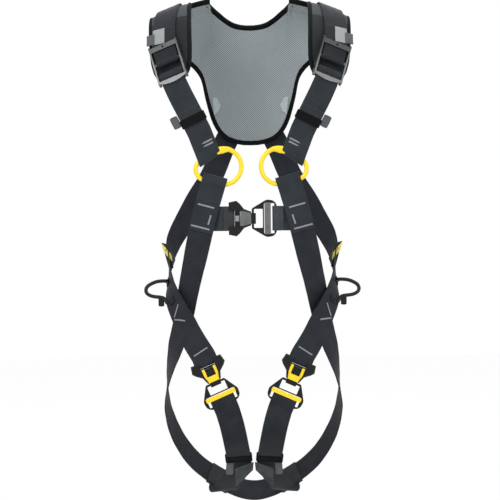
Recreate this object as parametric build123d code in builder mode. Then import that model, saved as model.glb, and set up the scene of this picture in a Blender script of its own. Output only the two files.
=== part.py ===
from build123d import *
import math
import os

# Full-body fall-arrest harness, in the shape that it takes on a standing wearer.
# Millimetres. +Z is up, the wearer faces -Y, and +X is the wearer's left.
# The origin is on the wearer's shoulder line, midway between the shoulder pads.
# Left pieces are drawn, and right pieces are their mirror images in the plane x = 0.

# ---------------------------------------------------------------- driving sizes
WEBBING_WIDTH = 45.0
WEBBING_THICKNESS = 2.0
LAYER_GAP = 0.4  # between two layers of webbing
MOVING_GAP = 0.5  # between pieces that move against each other
RUNNING_CLEARANCE = 0.05  # radial, pin in hole
FOLD_SWELL = 0.5  # how much wider and thicker webbing is where it is folded and sewn

PAD_THICKNESS = 9.0
PAD_CROWN = 3.0  # extra height of the foam inside the binding
PAD_BINDING_WIDTH = 8.0
PAD_BINDING_PROUD = 0.8
PAD_SIDE_WRAP = 0.0008  # how far the back panel curls forward, per mm of width squared
SHOULDER_PEAK = 17.0
SHOULDER_SLOPE = 0.00128  # fall of the shoulder line, per mm of width squared
SHOULDER_PAD_WIDTH = 84.0
SHOULDER_PAD_THICKNESS = 12.0

RING_SMALL_RADIUS = 20.0
RING_LARGE_RADIUS = 33.0
RING_UPPER_SLOPE = 34.0  # degrees, outer end low
RING_LOWER_SLOPE = 16.0  # degrees, outer end high
RING_SECTION_WIDE = 8.4
RING_SECTION_THICK = 6.8
RING_PLANE_Y = -124.0
RING_CENTRE = (58.0, -311.0)  # x and z of the large arc's box centre
STRAP_BREAK_UPPER_Z = -262.0
STRAP_BREAK_LOWER_Z = -368.0

BUCKLE_HEIGHT = 9.5
FRAME_THICKNESS = 3.6
LEVER_THICKNESS = 3.2
LEVER_PIN_RADIUS = 1.3
GEAR_LOOP_TUBE = 3.8
GEAR_BALL_LIFT = WEBBING_THICKNESS / 2 + GEAR_LOOP_TUBE + MOVING_GAP + 0.6
GEAR_ANCHOR = (13.0, 12.0)

CHEST_CENTRE = (0.0, -121.5, -406.0)
LEG_CENTRE = (70.6, -116.0, -704.0)
LEG_ALONG = (-0.40, -0.06, -0.915)
LEG_FACING = (0.06, -0.995, 0.06)
SHOULDER_CENTRE = (150.0, -114.0, -118.0)
SHOULDER_ALONG = (-0.27, -0.28, -0.92)
SHOULDER_FACING = (0.34, -0.921, 0.18)
DORSAL_CENTRE_Z = -178.0

# ---------------------------------------------------------------- strap routes
# Each entry is a point on the strap's middle line and the way its outer face looks.
UPPER_FRONT_ROUTE = [
    ((128.5, -124.6, -178.0), (0.18, -0.98, 0.10)),
    ((117.0, -125.0, -201.0), (0.05, -1.0, 0.0)),
    ((103.5, -125.0, -228.0), (0.05, -1.0, 0.0)),
    ((81.5, -125.0, -272.0), (0.05, -1.0, 0.0)),
]
SEAT_ROUTE = [
    ((74.0, -124.0, -356.0), (0.0, -1.0, 0.0)),
    ((80.0, -123.5, -378.0), (0.03, -1.0, 0.0)),
    ((86.5, -123.5, -402.0), (0.05, -1.0, 0.0)),
    ((94.0, -121.0, -432.0), (0.10, -1.0, 0.03)),
    ((103.0, -109.0, -470.0), (0.22, -0.97, 0.08)),
    ((111.0, -91.0, -503.0), (0.33, -0.93, 0.10)),
    ((119.5, -69.0, -540.0), (0.45, -0.89, 0.10)),
    ((131.0, -47.0, -594.0), (0.57, -0.82, 0.08)),
    ((145.0, -28.0, -640.0), (0.75, -0.65, 0.05)),
    ((158.0, -10.0, -687.0), (0.96, -0.28, 0.0)),
    ((164.0, 4.0, -722.0), (1.0, 0.0, 0.0)),
    ((165.0, 17.0, -752.0), (0.97, 0.20, -0.10)),
    ((158.0, 31.0, -790.0), (0.88, 0.38, -0.28)),
    ((141.5, 44.0, -830.0), (0.72, 0.52, -0.46)),
    ((113.0, 57.0, -870.0), (0.48, 0.62, -0.62)),
    ((78.0, 67.0, -899.0), (0.26, 0.68, -0.69)),
    ((42.0, 74.5, -920.0), (0.12, 0.72, -0.68)),
    ((0.0, 78.0, -931.0), (0.0, 0.75, -0.66)),
]
BACK_ROUTE = [
    ((18.0, 117.5, -198.0), (0.0, 1.0, 0.0)),
    ((52.0, 119.5, -256.0), (0.05, 1.0, 0.0)),
    ((78.0, 114.0, -318.0), (0.18, 0.98, 0.0)),
    ((107.7, 99.0, -366.0), (0.40, 0.92, 0.0)),
    ((129.6, 82.0, -405.0), (0.58, 0.81, 0.0)),
    ((150.5, 57.0, -444.0), (0.80, 0.60, 0.0)),
    ((159.5, 30.0, -478.0), (0.96, 0.28, 0.0)),
]
HIP_ROUTE = [
    ((154.6, 40.0, -466.0), (0.93, 0.36, 0.0)),
    ((157.0, 26.5, -481.0), (0.98, 0.20, 0.0)),
    ((157.6, 0.0, -502.0), (1.0, -0.08, 0.0)),
    ((156.5, -28.0, -523.0), (0.93, -0.36, 0.0)),
    ((153.0, -47.0, -541.0), (0.82, -0.57, 0.0)),
    ((146.5, -59.0, -558.0), (0.72, -0.69, 0.0)),
    ((128.5, -81.0, -593.0), (0.52, -0.85, 0.04)),
    ((112.5, -97.0, -624.0), (0.32, -0.94, 0.06)),
    ((100.0, -108.0, -644.0), (0.16, -0.985, 0.06)),
]
LEG_ROUTE = [
    ((42.0, -119.5, -776.0), (0.04, -0.98, -0.12)),
    ((35.0, -107.0, -808.0), (-0.01, -0.88, -0.46)),
    ((30.0, -82.0, -837.0), (-0.04, -0.68, -0.73)),
    ((28.0, -48.0, -862.0), (-0.03, -0.55, -0.83)),
    ((35.0, -18.0, -886.0), (0.02, -0.45, -0.89)),
    ((49.0, 10.0, -910.0), (0.08, -0.30, -0.95)),
    ((63.0, 31.0, -926.0), (0.14, 0.10, -0.98)),
]
SHOULDER_PAD_ROUTE = [
    ((148.0, -0.6, -11.4), (0.36, 0.0, 0.93)),
    ((148.5, -30.0, -16.0), (0.35, -0.34, 0.87)),
    ((148.5, -61.0, -36.0), (0.34, -0.68, 0.64)),
    ((147.5, -83.0, -67.0), (0.34, -0.86, 0.37)),
    ((145.5, -96.0, -105.0), (0.34, -0.92, 0.22)),
    ((142.5, -105.0, -148.0), (0.34, -0.93, 0.18)),
]
OVER_SHOULDER_ROUTE = [
    ((158.5, -101.0, -80.0), (0.34, -0.88, 0.33)),
    ((159.0, -86.5, -58.0), (0.34, -0.80, 0.48)),
    ((157.0, -62.0, -28.0), (0.34, -0.62, 0.70)),
    ((153.0, -30.0, -9.0), (0.36, -0.32, 0.88)),
    ((150.35, 8.0, -2.0), (0.36, 0.03, 0.93)),
    ((143.6, 44.8, -7.1), (0.28, 0.42, 0.86)),
    ((125.4, 77.6, -33.0), (0.18, 0.80, 0.56)),
    ((92.2, 99.3, -76.4), (0.10, 0.96, 0.28)),
    ((52.0, 110.4, -124.0), (0.04, 0.99, 0.12)),
    ((20.0, 115.0, -158.0), (0.0, 1.0, 0.04)),
]
BACK_PANEL_OUTLINE = [
    (0.0, -26.5),
    (22.0, -24.8),
    (43.0, -19.0),
    (57.0, -10.0),
    (69.0, 2.5),
    (80.0, 11.0),
    (94.0, 18.0),
    (112.0, 34.0),
]
BACK_PANEL_SIDE = [
    (190.0, -20.0),
    (174.0, -52.0),
    (148.0, -80.0),
    (118.0, -100.0),
    (97.0, -124.0),
    (88.0, -159.0),
    (81.0, -188.0),
    (70.0, -219.0),
    (52.0, -242.0),
    (28.0, -253.0),
    (0.0, -256.0),
]
GEAR_LOOP_ENDS = [(0.313, -3.0), (0.48, -10.5)]  # share of the hip strap's length, and offset across it
GEAR_LOOP_ROUTE = [
    (184.0, -28.0, -522.0),
    (203.0, -36.0, -532.0),
    (195.0, -47.0, -549.0),
]


# ---------------------------------------------------------------- helpers
def save(part, name):
    """Label one finished piece and write its file."""
    part.label = name
    export_step(part, f"parts/{name}.step")


def save_pair(part, name):
    """Write a left piece and its mirror image."""
    save(mirror(part, about=Plane.YZ), f"{name}_right")
    save(part, f"{name}_left")


def local_plane(origin, along, facing):
    """Plane whose x runs along the strap and whose z looks out from the wearer."""
    along = Vector(*along).normalized()
    facing = Vector(*facing)
    across = facing.cross(along).normalized()
    return Plane(origin=origin, x_dir=along, z_dir=along.cross(across))


def side_of(plane):
    """Plane of a piece's side view: x along the strap, y outward."""
    return Plane(origin=plane.origin, x_dir=plane.x_dir, z_dir=-plane.y_dir)


def route_shares(route):
    """Share of the route's length at each of its points."""
    points = [Vector(*point) for point, _ in route]
    steps = [(b - a).length for a, b in zip(points, points[1:])]
    total = sum(steps)
    return [sum(steps[:i]) / total for i in range(len(points))]


def facing_at(route, shares, share):
    """Facing direction between two route points."""
    for i in range(len(shares) - 1):
        if share <= shares[i + 1] + 1e-9:
            part = (share - shares[i]) / (shares[i + 1] - shares[i])
            start, end = Vector(*route[i][1]), Vector(*route[i + 1][1])
            return start * (1 - part) + end * part
    return Vector(*route[-1][1])


def route_plane(route, path, shares, share):
    """Cross-section plane of a strap: x across it, y through its thickness."""
    along = path.tangent_at(share)
    across = along.cross(facing_at(route, shares, share)).normalized()
    return Plane(origin=path.position_at(share), x_dir=across, z_dir=along)


def strap(route, width=WEBBING_WIDTH, thickness=WEBBING_THICKNESS, count=None, lift=0.0, span=(0.0, 1.0)):
    """Flat webbing lofted along a route, or along a span of it, and lifted off it if asked."""
    path = Spline(*[Vector(*point) for point, _ in route])
    shares = route_shares(route)
    count = count or 2 * len(route) - 1
    with BuildPart() as webbing:
        for i in range(count):
            share = span[0] + (span[1] - span[0]) * i / (count - 1)
            plane = route_plane(route, path, shares, share)
            with BuildSketch(plane):
                with Locations((0, -lift)):
                    Rectangle(width, thickness)
        loft(ruled=False)
    return webbing.part


def mirrored(route):
    """The same route on the other side of the body."""
    return [((-x, y, z), (-fx, fy, fz)) for (x, y, z), (fx, fy, fz) in route]


def raised_end(route, heights):
    """Lift the last points of a route off the body, one height for each."""
    kept, lifted = route[: -len(heights)], route[-len(heights) :]
    moved = []
    for (point, facing), height in zip(lifted, heights):
        moved.append((tuple(Vector(*point) + Vector(*facing).normalized() * height), facing))
    return kept + moved


def at(plane, x, y, z):
    """A point of a piece's own plane, as a plain tuple."""
    return tuple(plane.from_local_coords(Vector(x, y, z)))


def strap_loop(plane, centre, height, bar_radius, slack=0.0, tail=14.0, taper=8.0):
    """Webbing folded round a bar at x = centre; the two layers leave towards +x, or -x if tail < 0."""
    outer = bar_radius + LAYER_GAP / 2 + WEBBING_THICKNESS
    way = 1 if tail > 0 else -1
    half_stack = WEBBING_THICKNESS + LAYER_GAP / 2 + FOLD_SWELL / 2
    side = side_of(plane)
    hole_radius = bar_radius + LAYER_GAP / 2
    start = centre + way * slack
    with BuildPart() as loop:
        with BuildSketch(side):
            with Locations((centre + way * slack / 2, height)):
                if slack:
                    SlotCenterToCenter(slack, 2 * outer)
                else:
                    Circle(outer)
            with BuildLine():
                Polyline(
                    (start, height + outer * 0.98),
                    (start + way * taper, height + half_stack),
                    (start + tail, height + half_stack),
                    (start + tail, height - half_stack),
                    (start + way * taper, height - half_stack),
                    (start, height - outer * 0.98),
                    close=True,
                )
            make_face()
            with Locations((centre + way * slack / 2, height)):
                if slack:
                    SlotCenterToCenter(slack, 2 * hole_radius, mode=Mode.SUBTRACT)
                else:
                    Circle(hole_radius, mode=Mode.SUBTRACT)
        extrude(amount=(WEBBING_WIDTH + FOLD_SWELL) / 2, both=True)
    return loop.part


def joined(*pieces):
    """Fuse the lengths of one piece of webbing."""
    with BuildPart() as whole:
        for piece in pieces:
            add(piece)
    return whole.part


# ---------------------------------------------------------------- back panel
def panel_profile(x, lift):
    """Side view of the back panel at one width, as (y, z) points lifted off its middle surface."""
    peak = SHOULDER_PEAK - SHOULDER_SLOPE * x * x
    wrap = PAD_SIDE_WRAP * x * x
    middle = [
        (0.0, peak),
        (40.0, peak - 6.0),
        (74.0 - wrap / 2, peak - 34.0),
        (94.0 - wrap, -68.0),
        (104.0 - wrap, -150.0),
        (110.0 - wrap, -215.0),
        (112.0 - wrap, -275.0),
    ]
    lifted = []
    for i, (y, z) in enumerate(middle):
        y0, z0 = middle[max(i - 1, 0)]
        y1, z1 = middle[min(i + 1, len(middle) - 1)]
        length = math.hypot(y1 - y0, z1 - z0)
        lifted.append((y - lift * (z1 - z0) / length, z + lift * (y1 - y0) / length))
    return lifted


def panel_slab(half_thickness):
    """Curved slab that follows the wearer's shoulders and back."""
    with BuildPart() as slab:
        for x in (-195, -150, -110, -60, 0, 60, 110, 150, 195):
            outer = [(x, y, z) for y, z in panel_profile(x, half_thickness)]
            inner = [(x, y, z) for y, z in panel_profile(x, -half_thickness)]
            with BuildSketch(Plane.YZ.offset(x)):
                with BuildLine():
                    Spline(*[(y, z) for _, y, z in outer])
                    Line((outer[-1][1], outer[-1][2]), (inner[-1][1], inner[-1][2]))
                    Spline(*[(y, z) for _, y, z in reversed(inner)])
                    Line((inner[0][1], inner[0][2]), (outer[0][1], outer[0][2]))
                make_face()
        loft()
    return slab.part


def inset_points(points, amount):
    """Move an outline's points to the right of the way it runs; a point at x = 0 stays there."""
    moved = []
    for i, (x, z) in enumerate(points):
        x0, z0 = points[max(i - 1, 0)]
        x1, z1 = points[min(i + 1, len(points) - 1)]
        length = math.hypot(x1 - x0, z1 - z0)
        shifted_x = x + amount * (z1 - z0) / length if x else 0.0
        moved.append((shifted_x, z - amount * (x1 - x0) / length))
    return moved


def panel_outline(inset=0.0):
    """Prism through the back panel's front outline."""
    top = inset_points(BACK_PANEL_OUTLINE, inset)
    side = inset_points(BACK_PANEL_SIDE, inset)
    with BuildPart() as prism:
        with BuildSketch(Plane.XZ):
            with BuildLine():
                Spline(*top)
                Polyline(top[-1], (side[0][0], top[-1][1]), side[0])
                Spline(*side)
                mirror(about=Plane.YZ)
            make_face()
        extrude(amount=-200)
    return prism.part


outline_prism = panel_outline()
inner_prism = panel_outline(PAD_BINDING_WIDTH)

with BuildPart() as back_pad:
    add(panel_slab(PAD_THICKNESS / 2 + PAD_CROWN / 2))
    add(inner_prism, mode=Mode.INTERSECT)
with BuildPart() as back_pad_binding:
    add(panel_slab(PAD_THICKNESS / 2 + PAD_BINDING_PROUD))
    add(outline_prism, mode=Mode.INTERSECT)
    add(inner_prism, mode=Mode.SUBTRACT)
save(back_pad.part, "back_pad")
side_binding, neck_binding = back_pad_binding.part.solids().sort_by(Axis.Z)
save(side_binding, "back_pad_binding")
save(neck_binding, "neck_binding")


# ---------------------------------------------------------------- shoulder pads
def crowned_section(plane, width, thickness):
    """Cushion section: arched faces between short side walls."""
    half, edge = width / 2, thickness * 0.24
    with BuildSketch(plane) as section:
        with BuildLine():
            ThreePointArc((-half, edge), (0, thickness / 2), (half, edge))
            Line((half, edge), (half, -edge))
            ThreePointArc((half, -edge), (0, -thickness / 2), (-half, -edge))
            Line((-half, -edge), (-half, edge))
        make_face()
    return section.sketch


SHOULDER_PAD_TAPER = [
    (0.0, 1.0),
    (0.15, 1.0),
    (0.32, 1.0),
    (0.5, 1.0),
    (0.68, 0.99),
    (0.82, 0.95),
    (0.92, 0.85),
    (0.975, 0.70),
    (1.0, 0.52),
]  # share of the pad's length, share of its full width
pad_path = Spline(*[Vector(*point) for point, _ in SHOULDER_PAD_ROUTE])
pad_shares = route_shares(SHOULDER_PAD_ROUTE)
pad_sections = []
for share, width_share in SHOULDER_PAD_TAPER:
    section_plane = route_plane(SHOULDER_PAD_ROUTE, pad_path, pad_shares, share)
    section_width = SHOULDER_PAD_WIDTH * width_share
    pad_sections.append(crowned_section(section_plane, section_width, SHOULDER_PAD_THICKNESS))
with BuildPart() as shoulder_pad:
    loft(sections=pad_sections)
save_pair(shoulder_pad.part, "shoulder_pad")


# ---------------------------------------------------------------- shoulder adjusters
shoulder_plane = local_plane(SHOULDER_CENTRE, SHOULDER_ALONG, SHOULDER_FACING)
RAIL_INNER = WEBBING_WIDTH / 2 + 3.0
RAIL_THICKNESS = 3.0
RAIL_OUTER = RAIL_INNER + RAIL_THICKNESS
RAIL_HEIGHT = 8.0
ADJUSTER_TOP = -36.0
ADJUSTER_BOTTOM = 35.0
CROSSBAR_X = -2.0
SLIDER_X = 22.0
SLIDER_RADIUS = 3.2
SLIDER_TRAVEL = 5.0
STUB_RADIUS = SLIDER_RADIUS - 0.8  # slider's ends, which run in the rails' slots
STACK_Z = 0.6  # middle of the two layers of webbing under the lower bar
BAR_CLEARANCE = 0.3
LOWER_BAR_START = ADJUSTER_BOTTOM - 2.0
LOWER_BAR_BOW = 7.0
LOWER_BAR_THICKNESS = 3.0
TOP_PLATE_LENGTH = 9.0
TOP_PLATE_THICKNESS = 2.4
TOP_PLATE_HOLE_RADIUS = 2.0

with BuildPart() as shoulder_buckle_frame:
    with BuildSketch(side_of(shoulder_plane)):
        SlotOverall(ADJUSTER_BOTTOM - ADJUSTER_TOP + 10.0, RAIL_HEIGHT + 3.0)
        with Locations((SLIDER_X + SLIDER_TRAVEL / 2, STACK_Z)):
            SlotCenterToCenter(SLIDER_TRAVEL, 2 * STUB_RADIUS + 2 * BAR_CLEARANCE, mode=Mode.SUBTRACT)
    extrude(amount=RAIL_OUTER, both=True)
    with BuildSketch(shoulder_plane.offset(-RAIL_HEIGHT)):
        Rectangle(120, 2 * RAIL_INNER)
    extrude(amount=3 * RAIL_HEIGHT, mode=Mode.SUBTRACT)
    # lower bar, bowed downwards, in front of the webbing
    with BuildSketch(shoulder_plane.offset(WEBBING_THICKNESS * 1.5 + STACK_Z)):
        with BuildLine():
            Polyline(
                (ADJUSTER_BOTTOM + 1, RAIL_OUTER),
                (LOWER_BAR_START, RAIL_OUTER),
                (LOWER_BAR_START, -RAIL_OUTER),
                (ADJUSTER_BOTTOM + 1, -RAIL_OUTER),
            )
            ThreePointArc(
                (ADJUSTER_BOTTOM + 1, -RAIL_OUTER),
                (ADJUSTER_BOTTOM + LOWER_BAR_BOW, 0),
                (ADJUSTER_BOTTOM + 1, RAIL_OUTER),
            )
        make_face()
    extrude(amount=LOWER_BAR_THICKNESS)
    # top plate with its drilled hole
    with BuildSketch(shoulder_plane.offset(WEBBING_THICKNESS * 1.5 + STACK_Z)):
        with Locations((ADJUSTER_TOP + TOP_PLATE_LENGTH / 2 + 0.5, 0)):
            Rectangle(TOP_PLATE_LENGTH, 2 * RAIL_INNER + RAIL_THICKNESS)
            Circle(TOP_PLATE_HOLE_RADIUS, mode=Mode.SUBTRACT)
    extrude(amount=TOP_PLATE_THICKNESS)
    # fixed crossbar that the shoulder strap is folded round
    with BuildSketch(side_of(shoulder_plane)):
        with Locations((CROSSBAR_X, STACK_Z)):
            Circle(SLIDER_RADIUS)
    extrude(amount=RAIL_INNER + 0.1, both=True)
save_pair(shoulder_buckle_frame.part, "shoulder_buckle_frame")

with BuildPart() as shoulder_buckle_slider:
    with BuildSketch(side_of(shoulder_plane)):
        with Locations((SLIDER_X, STACK_Z)):
            Circle(SLIDER_RADIUS)
    extrude(amount=RAIL_INNER - MOVING_GAP, both=True)
    with BuildSketch(side_of(shoulder_plane)):
        with Locations((SLIDER_X, STACK_Z)):
            Circle(STUB_RADIUS)
    extrude(amount=RAIL_OUTER + 1.0, both=True)
save_pair(shoulder_buckle_slider.part, "shoulder_buckle_slider")

# ---------------------------------------------------------------- straps above the chest
main_start = at(shoulder_plane, ADJUSTER_BOTTOM + 4, 0, STACK_Z - (WEBBING_THICKNESS + LAYER_GAP) / 2)
upper_route = [(main_start, SHOULDER_FACING)] + UPPER_FRONT_ROUTE
tail_route = upper_route[:4]
with BuildPart() as upper_front_strap:
    add(strap(upper_route, count=13))
    add(strap(tail_route, count=9, lift=WEBBING_THICKNESS + LAYER_GAP))
    fold_tail = ADJUSTER_BOTTOM + 5 - SLIDER_X - SLIDER_TRAVEL
    add(strap_loop(shoulder_plane, SLIDER_X, STACK_Z, SLIDER_RADIUS + 0.2, SLIDER_TRAVEL, fold_tail, 3.6))
    split(bisect_by=Plane.XY.offset(STRAP_BREAK_UPPER_Z + MOVING_GAP / 2), keep=Keep.TOP)
save_pair(upper_front_strap.part, "upper_front_strap")

over_start = at(shoulder_plane, CROSSBAR_X - 30, 0, STACK_Z)
over_route = [(over_start, SHOULDER_FACING)] + OVER_SHOULDER_ROUTE
fold = strap_loop(shoulder_plane, CROSSBAR_X, STACK_Z, SLIDER_RADIUS, 0.0, -30.5)
shoulder_strap = joined(strap(over_route), fold)
save(shoulder_strap, "shoulder_strap_left")
right_over = mirrored(raised_end(over_route, (0.3, 1.6, 2.6)))
save(joined(strap(right_over), mirror(fold, about=Plane.YZ)), "shoulder_strap_right")

# ---------------------------------------------------------------- straps behind and below
save(strap(BACK_ROUTE), "back_strap_left")
raised_back = list(reversed(raised_end(list(reversed(BACK_ROUTE)), (0.8, 2.6))))
save(strap(mirrored(raised_back)), "back_strap_right")

seat_route = SEAT_ROUTE + list(reversed(mirrored(SEAT_ROUTE[:-1])))
with BuildPart() as seat_strap:
    add(strap(seat_route, count=61))
    split(bisect_by=Plane.XY.offset(STRAP_BREAK_LOWER_Z - MOVING_GAP / 2), keep=Keep.BOTTOM)
save(seat_strap.part, "seat_strap")

# ---------------------------------------------------------------- dorsal plate and its ring
DORSAL_Y = 121.8
DORSAL_PLATE_THICKNESS = 4.0
DORSAL_BAR_RADIUS = 4.0
DORSAL_BAR_Y = 132.3
DORSAL_LUG_WIDTH = 9.0
DORSAL_LUG_X = 17.0
DORSAL_LUG_FOOT = 13.0
DORSAL_LUG_RADIUS = 7.5
DORSAL_PLATE_SIZE = (92.0, 72.0)
DORSAL_SLOT_SIZE = (56.0, 6.0)
DORSAL_SLOT_Z = 27.0
DORSAL_RING_WIDTH = 62.0
DORSAL_RING_DROP = 66.0
dorsal_plane = Plane(origin=(0, DORSAL_Y, DORSAL_CENTRE_Z), x_dir=(-1, 0, 0), z_dir=(0, 1, 0))
with BuildPart() as dorsal_plate:
    with BuildSketch(dorsal_plane):
        RectangleRounded(*DORSAL_PLATE_SIZE, 16)
        with Locations((0, DORSAL_SLOT_Z), (0, -DORSAL_SLOT_Z)):
            SlotOverall(*DORSAL_SLOT_SIZE, mode=Mode.SUBTRACT)
    extrude(amount=DORSAL_PLATE_THICKNESS)
    for x in (-DORSAL_LUG_X, DORSAL_LUG_X):
        with BuildSketch(Plane.YZ.offset(x - DORSAL_LUG_WIDTH / 2)):
            with BuildLine():
                Polyline(
                    (DORSAL_Y + 1, DORSAL_CENTRE_Z - DORSAL_LUG_FOOT),
                    (DORSAL_Y + 1, DORSAL_CENTRE_Z + DORSAL_LUG_FOOT),
                    (DORSAL_BAR_Y, DORSAL_CENTRE_Z + DORSAL_LUG_RADIUS),
                    (DORSAL_BAR_Y, DORSAL_CENTRE_Z - DORSAL_LUG_RADIUS),
                    close=True,
                )
            make_face()
            with Locations((DORSAL_BAR_Y, DORSAL_CENTRE_Z)):
                Circle(DORSAL_LUG_RADIUS)
                Circle(DORSAL_BAR_RADIUS + RUNNING_CLEARANCE, mode=Mode.SUBTRACT)
        extrude(amount=DORSAL_LUG_WIDTH)
save(dorsal_plate.part, "dorsal_plate")

ring_plane = Plane(origin=(0, DORSAL_BAR_Y, DORSAL_CENTRE_Z), x_dir=(-1, 0, 0), z_dir=(0, 1, 0))
half_width, drop = DORSAL_RING_WIDTH / 2, DORSAL_RING_DROP
with BuildPart() as dorsal_ring:
    with BuildLine(ring_plane) as bow:
        corners = [(half_width, 0), (half_width, -drop), (-half_width, -drop), (-half_width, 0)]
        FilletPolyline(*corners, radius=[9.0, 28.0, 28.0, 9.0], close=True)
    with BuildSketch(Plane(origin=bow.line @ 0, z_dir=bow.line % 0)):
        Circle(DORSAL_BAR_RADIUS)
    sweep()
save(dorsal_ring.part, "dorsal_ring")

# ---------------------------------------------------------------- sternal rings and the webbing round them
ring_face = Plane(origin=(RING_CENTRE[0], RING_PLANE_Y, RING_CENTRE[1]), x_dir=(1, 0, 0), z_dir=(0, -1, 0))
RING_CIRCLE_X = -7.0


def ring_triangle():
    """Corners of the triangle that the ring's middle line rounds off."""
    upper, lower = math.radians(RING_UPPER_SLOPE), math.radians(RING_LOWER_SLOPE)
    radius = RING_LARGE_RADIUS
    tip_x = radius * (math.cos(upper) + math.cos(lower)) / math.sin(upper + lower)
    tip_y = (radius - math.sin(upper) * tip_x) / math.cos(upper)
    top = radius * (1 + math.sin(upper)) / math.cos(upper)
    bottom = -radius * (1 + math.sin(lower)) / math.cos(lower)
    corners = [(tip_x, tip_y), (-radius, bottom), (-radius, top)]
    return [(RING_CIRCLE_X + x, y) for x, y in corners]


def ring_tube(wide, thick, flats=0):
    """Tube along the ring's middle line, with an oval section, or a flat-sided one round that oval."""
    large = RING_LARGE_RADIUS - 0.05
    with BuildPart() as tube:
        with BuildLine(ring_face) as middle:
            FilletPolyline(*ring_triangle(), radius=[RING_SMALL_RADIUS, large, large], close=True)
        with BuildSketch(Plane(origin=middle.line @ 0, x_dir=ring_face.z_dir, z_dir=middle.line % 0)):
            if flats:
                reach = 0.5 / math.cos(math.pi / flats)
                turns = [2 * math.pi * (i + 0.5) / flats for i in range(flats)]
                corners = [(thick * math.cos(turn), wide * math.sin(turn)) for turn in turns]
                Polygon(*[(reach * x, reach * y) for x, y in corners], align=None)
            else:
                Ellipse(thick / 2, wide / 2)
        sweep()
    return tube.part


sternal_ring = ring_tube(RING_SECTION_WIDE, RING_SECTION_THICK)
ring_tunnel = ring_tube(RING_SECTION_WIDE + LAYER_GAP, RING_SECTION_THICK + LAYER_GAP, 8)
save_pair(sternal_ring, "sternal_ring")


def strap_end(bar_point, slope, break_point, name):
    """Doubled webbing from the break in a front strap to its fold round the ring."""
    half = WEBBING_WIDTH / 2
    lean = (break_point[0] - bar_point[0]) / (break_point[1] - bar_point[1])
    reach = half * math.hypot(1, lean)
    rise = math.tan(math.radians(slope))
    corners = []
    for x, side in ((break_point[0] - reach, -1), (break_point[0] + reach, 1)):
        # where this edge of the strap meets the line of the ring's bar
        z = (bar_point[1] + rise * (x - lean * break_point[1] - bar_point[0])) / (1 - rise * lean)
        corners.append((x, break_point[1], x + lean * (z - break_point[1]), z))
    left, right = corners
    face = Plane(origin=(0, RING_PLANE_Y, 0), x_dir=(1, 0, 0), z_dir=(0, -1, 0))
    stack = WEBBING_THICKNESS + LAYER_GAP / 2
    nose_radius = RING_SECTION_WIDE / 2 + LAYER_GAP + WEBBING_THICKNESS
    angle = math.radians(slope)
    bar_way = (math.cos(angle), 0, math.sin(angle))
    nose_plane = Plane(origin=(left[2], RING_PLANE_Y, left[3]), x_dir=(0, 1, 0), z_dir=bar_way)
    length = math.hypot(right[2] - left[2], right[3] - left[3])
    with BuildPart() as end:
        with BuildSketch(face):
            Polygon(left[:2], right[:2], right[2:], left[2:], align=None)
        extrude(amount=stack, both=True)
        with BuildSketch(nose_plane):
            Circle(nose_radius)
        extrude(amount=length)
        add(ring_tunnel, mode=Mode.SUBTRACT)
    save_pair(end.part, name)


def ring_point(x, slope, outward):
    """Point of the ring's middle line on one of its straight bars, as row x and z."""
    angle = math.radians(slope)
    normal = (math.sin(angle), outward * math.cos(angle))
    y = (RING_LARGE_RADIUS - normal[0] * (x - RING_CIRCLE_X)) / normal[1]
    return RING_CENTRE[0] + x, RING_CENTRE[1] + y


upper_bar = ring_point(18.5, RING_UPPER_SLOPE, 1)
lower_bar = ring_point(11.0, RING_LOWER_SLOPE, -1)
strap_end(upper_bar, -RING_UPPER_SLOPE, (86.5, STRAP_BREAK_UPPER_Z - MOVING_GAP / 2), "upper_strap_end")
strap_end(lower_bar, RING_LOWER_SLOPE, (77.3, STRAP_BREAK_LOWER_Z + MOVING_GAP / 2), "lower_strap_end")


# ---------------------------------------------------------------- automatic latch buckles
LATCH_OUTLINE = [(-42.0, 29.5), (-28.0, 32.5), (-22.5, 28.0), (-14.0, 17.5), (-1.0, 12.5)]
LATCH_DEPTH = 3.0  # base below the frame's plane
CHANNEL = [(-50.0, 14.2), (-15.0, 14.2), (-0.5, 10.2)]
CHANNEL_FLOOR = 0.2
STRAP_BAR_X = -38.0
STRAP_BAR_Z = 2.0
STRAP_BAR_RADIUS = 2.4
WING_UNDERSIDE = STRAP_BAR_Z + STRAP_BAR_RADIUS + LAYER_GAP + WEBBING_THICKNESS + 0.3
STRAP_WINDOW_HALF = WEBBING_WIDTH / 2 + 1.0
PIN_Z = 5.8
HOOK_HALF = 10.0
LEVER_TOP = 8.2
LEVER_BOTTOM = LEVER_TOP - LEVER_THICKNESS
TOOTH_LENGTH = 3.0
ARM_INNER = 8.4
BUTTON_HALF = 7.6
BUTTON_TRAVEL = 3.0
END_BAR_X = 43.5
END_BAR_LENGTH = 4.4
FRAME_LENGTH = END_BAR_X + END_BAR_LENGTH / 2
SLIDE_WINDOW_X = 31.9
SLIDE_WINDOW_LENGTH = 2 * (END_BAR_X - SLIDE_WINDOW_X) - END_BAR_LENGTH
FRAME_BAR_RADIUS = math.hypot(END_BAR_LENGTH, FRAME_THICKNESS) / 2
SLIDE_Z = FRAME_THICKNESS + 0.3
SLIDE_THICKNESS = 2.2


def both_sides(half_points):
    """Outline mirrored in the strap's middle line."""
    return half_points + [(x, -y) for x, y in reversed(half_points)]


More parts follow.
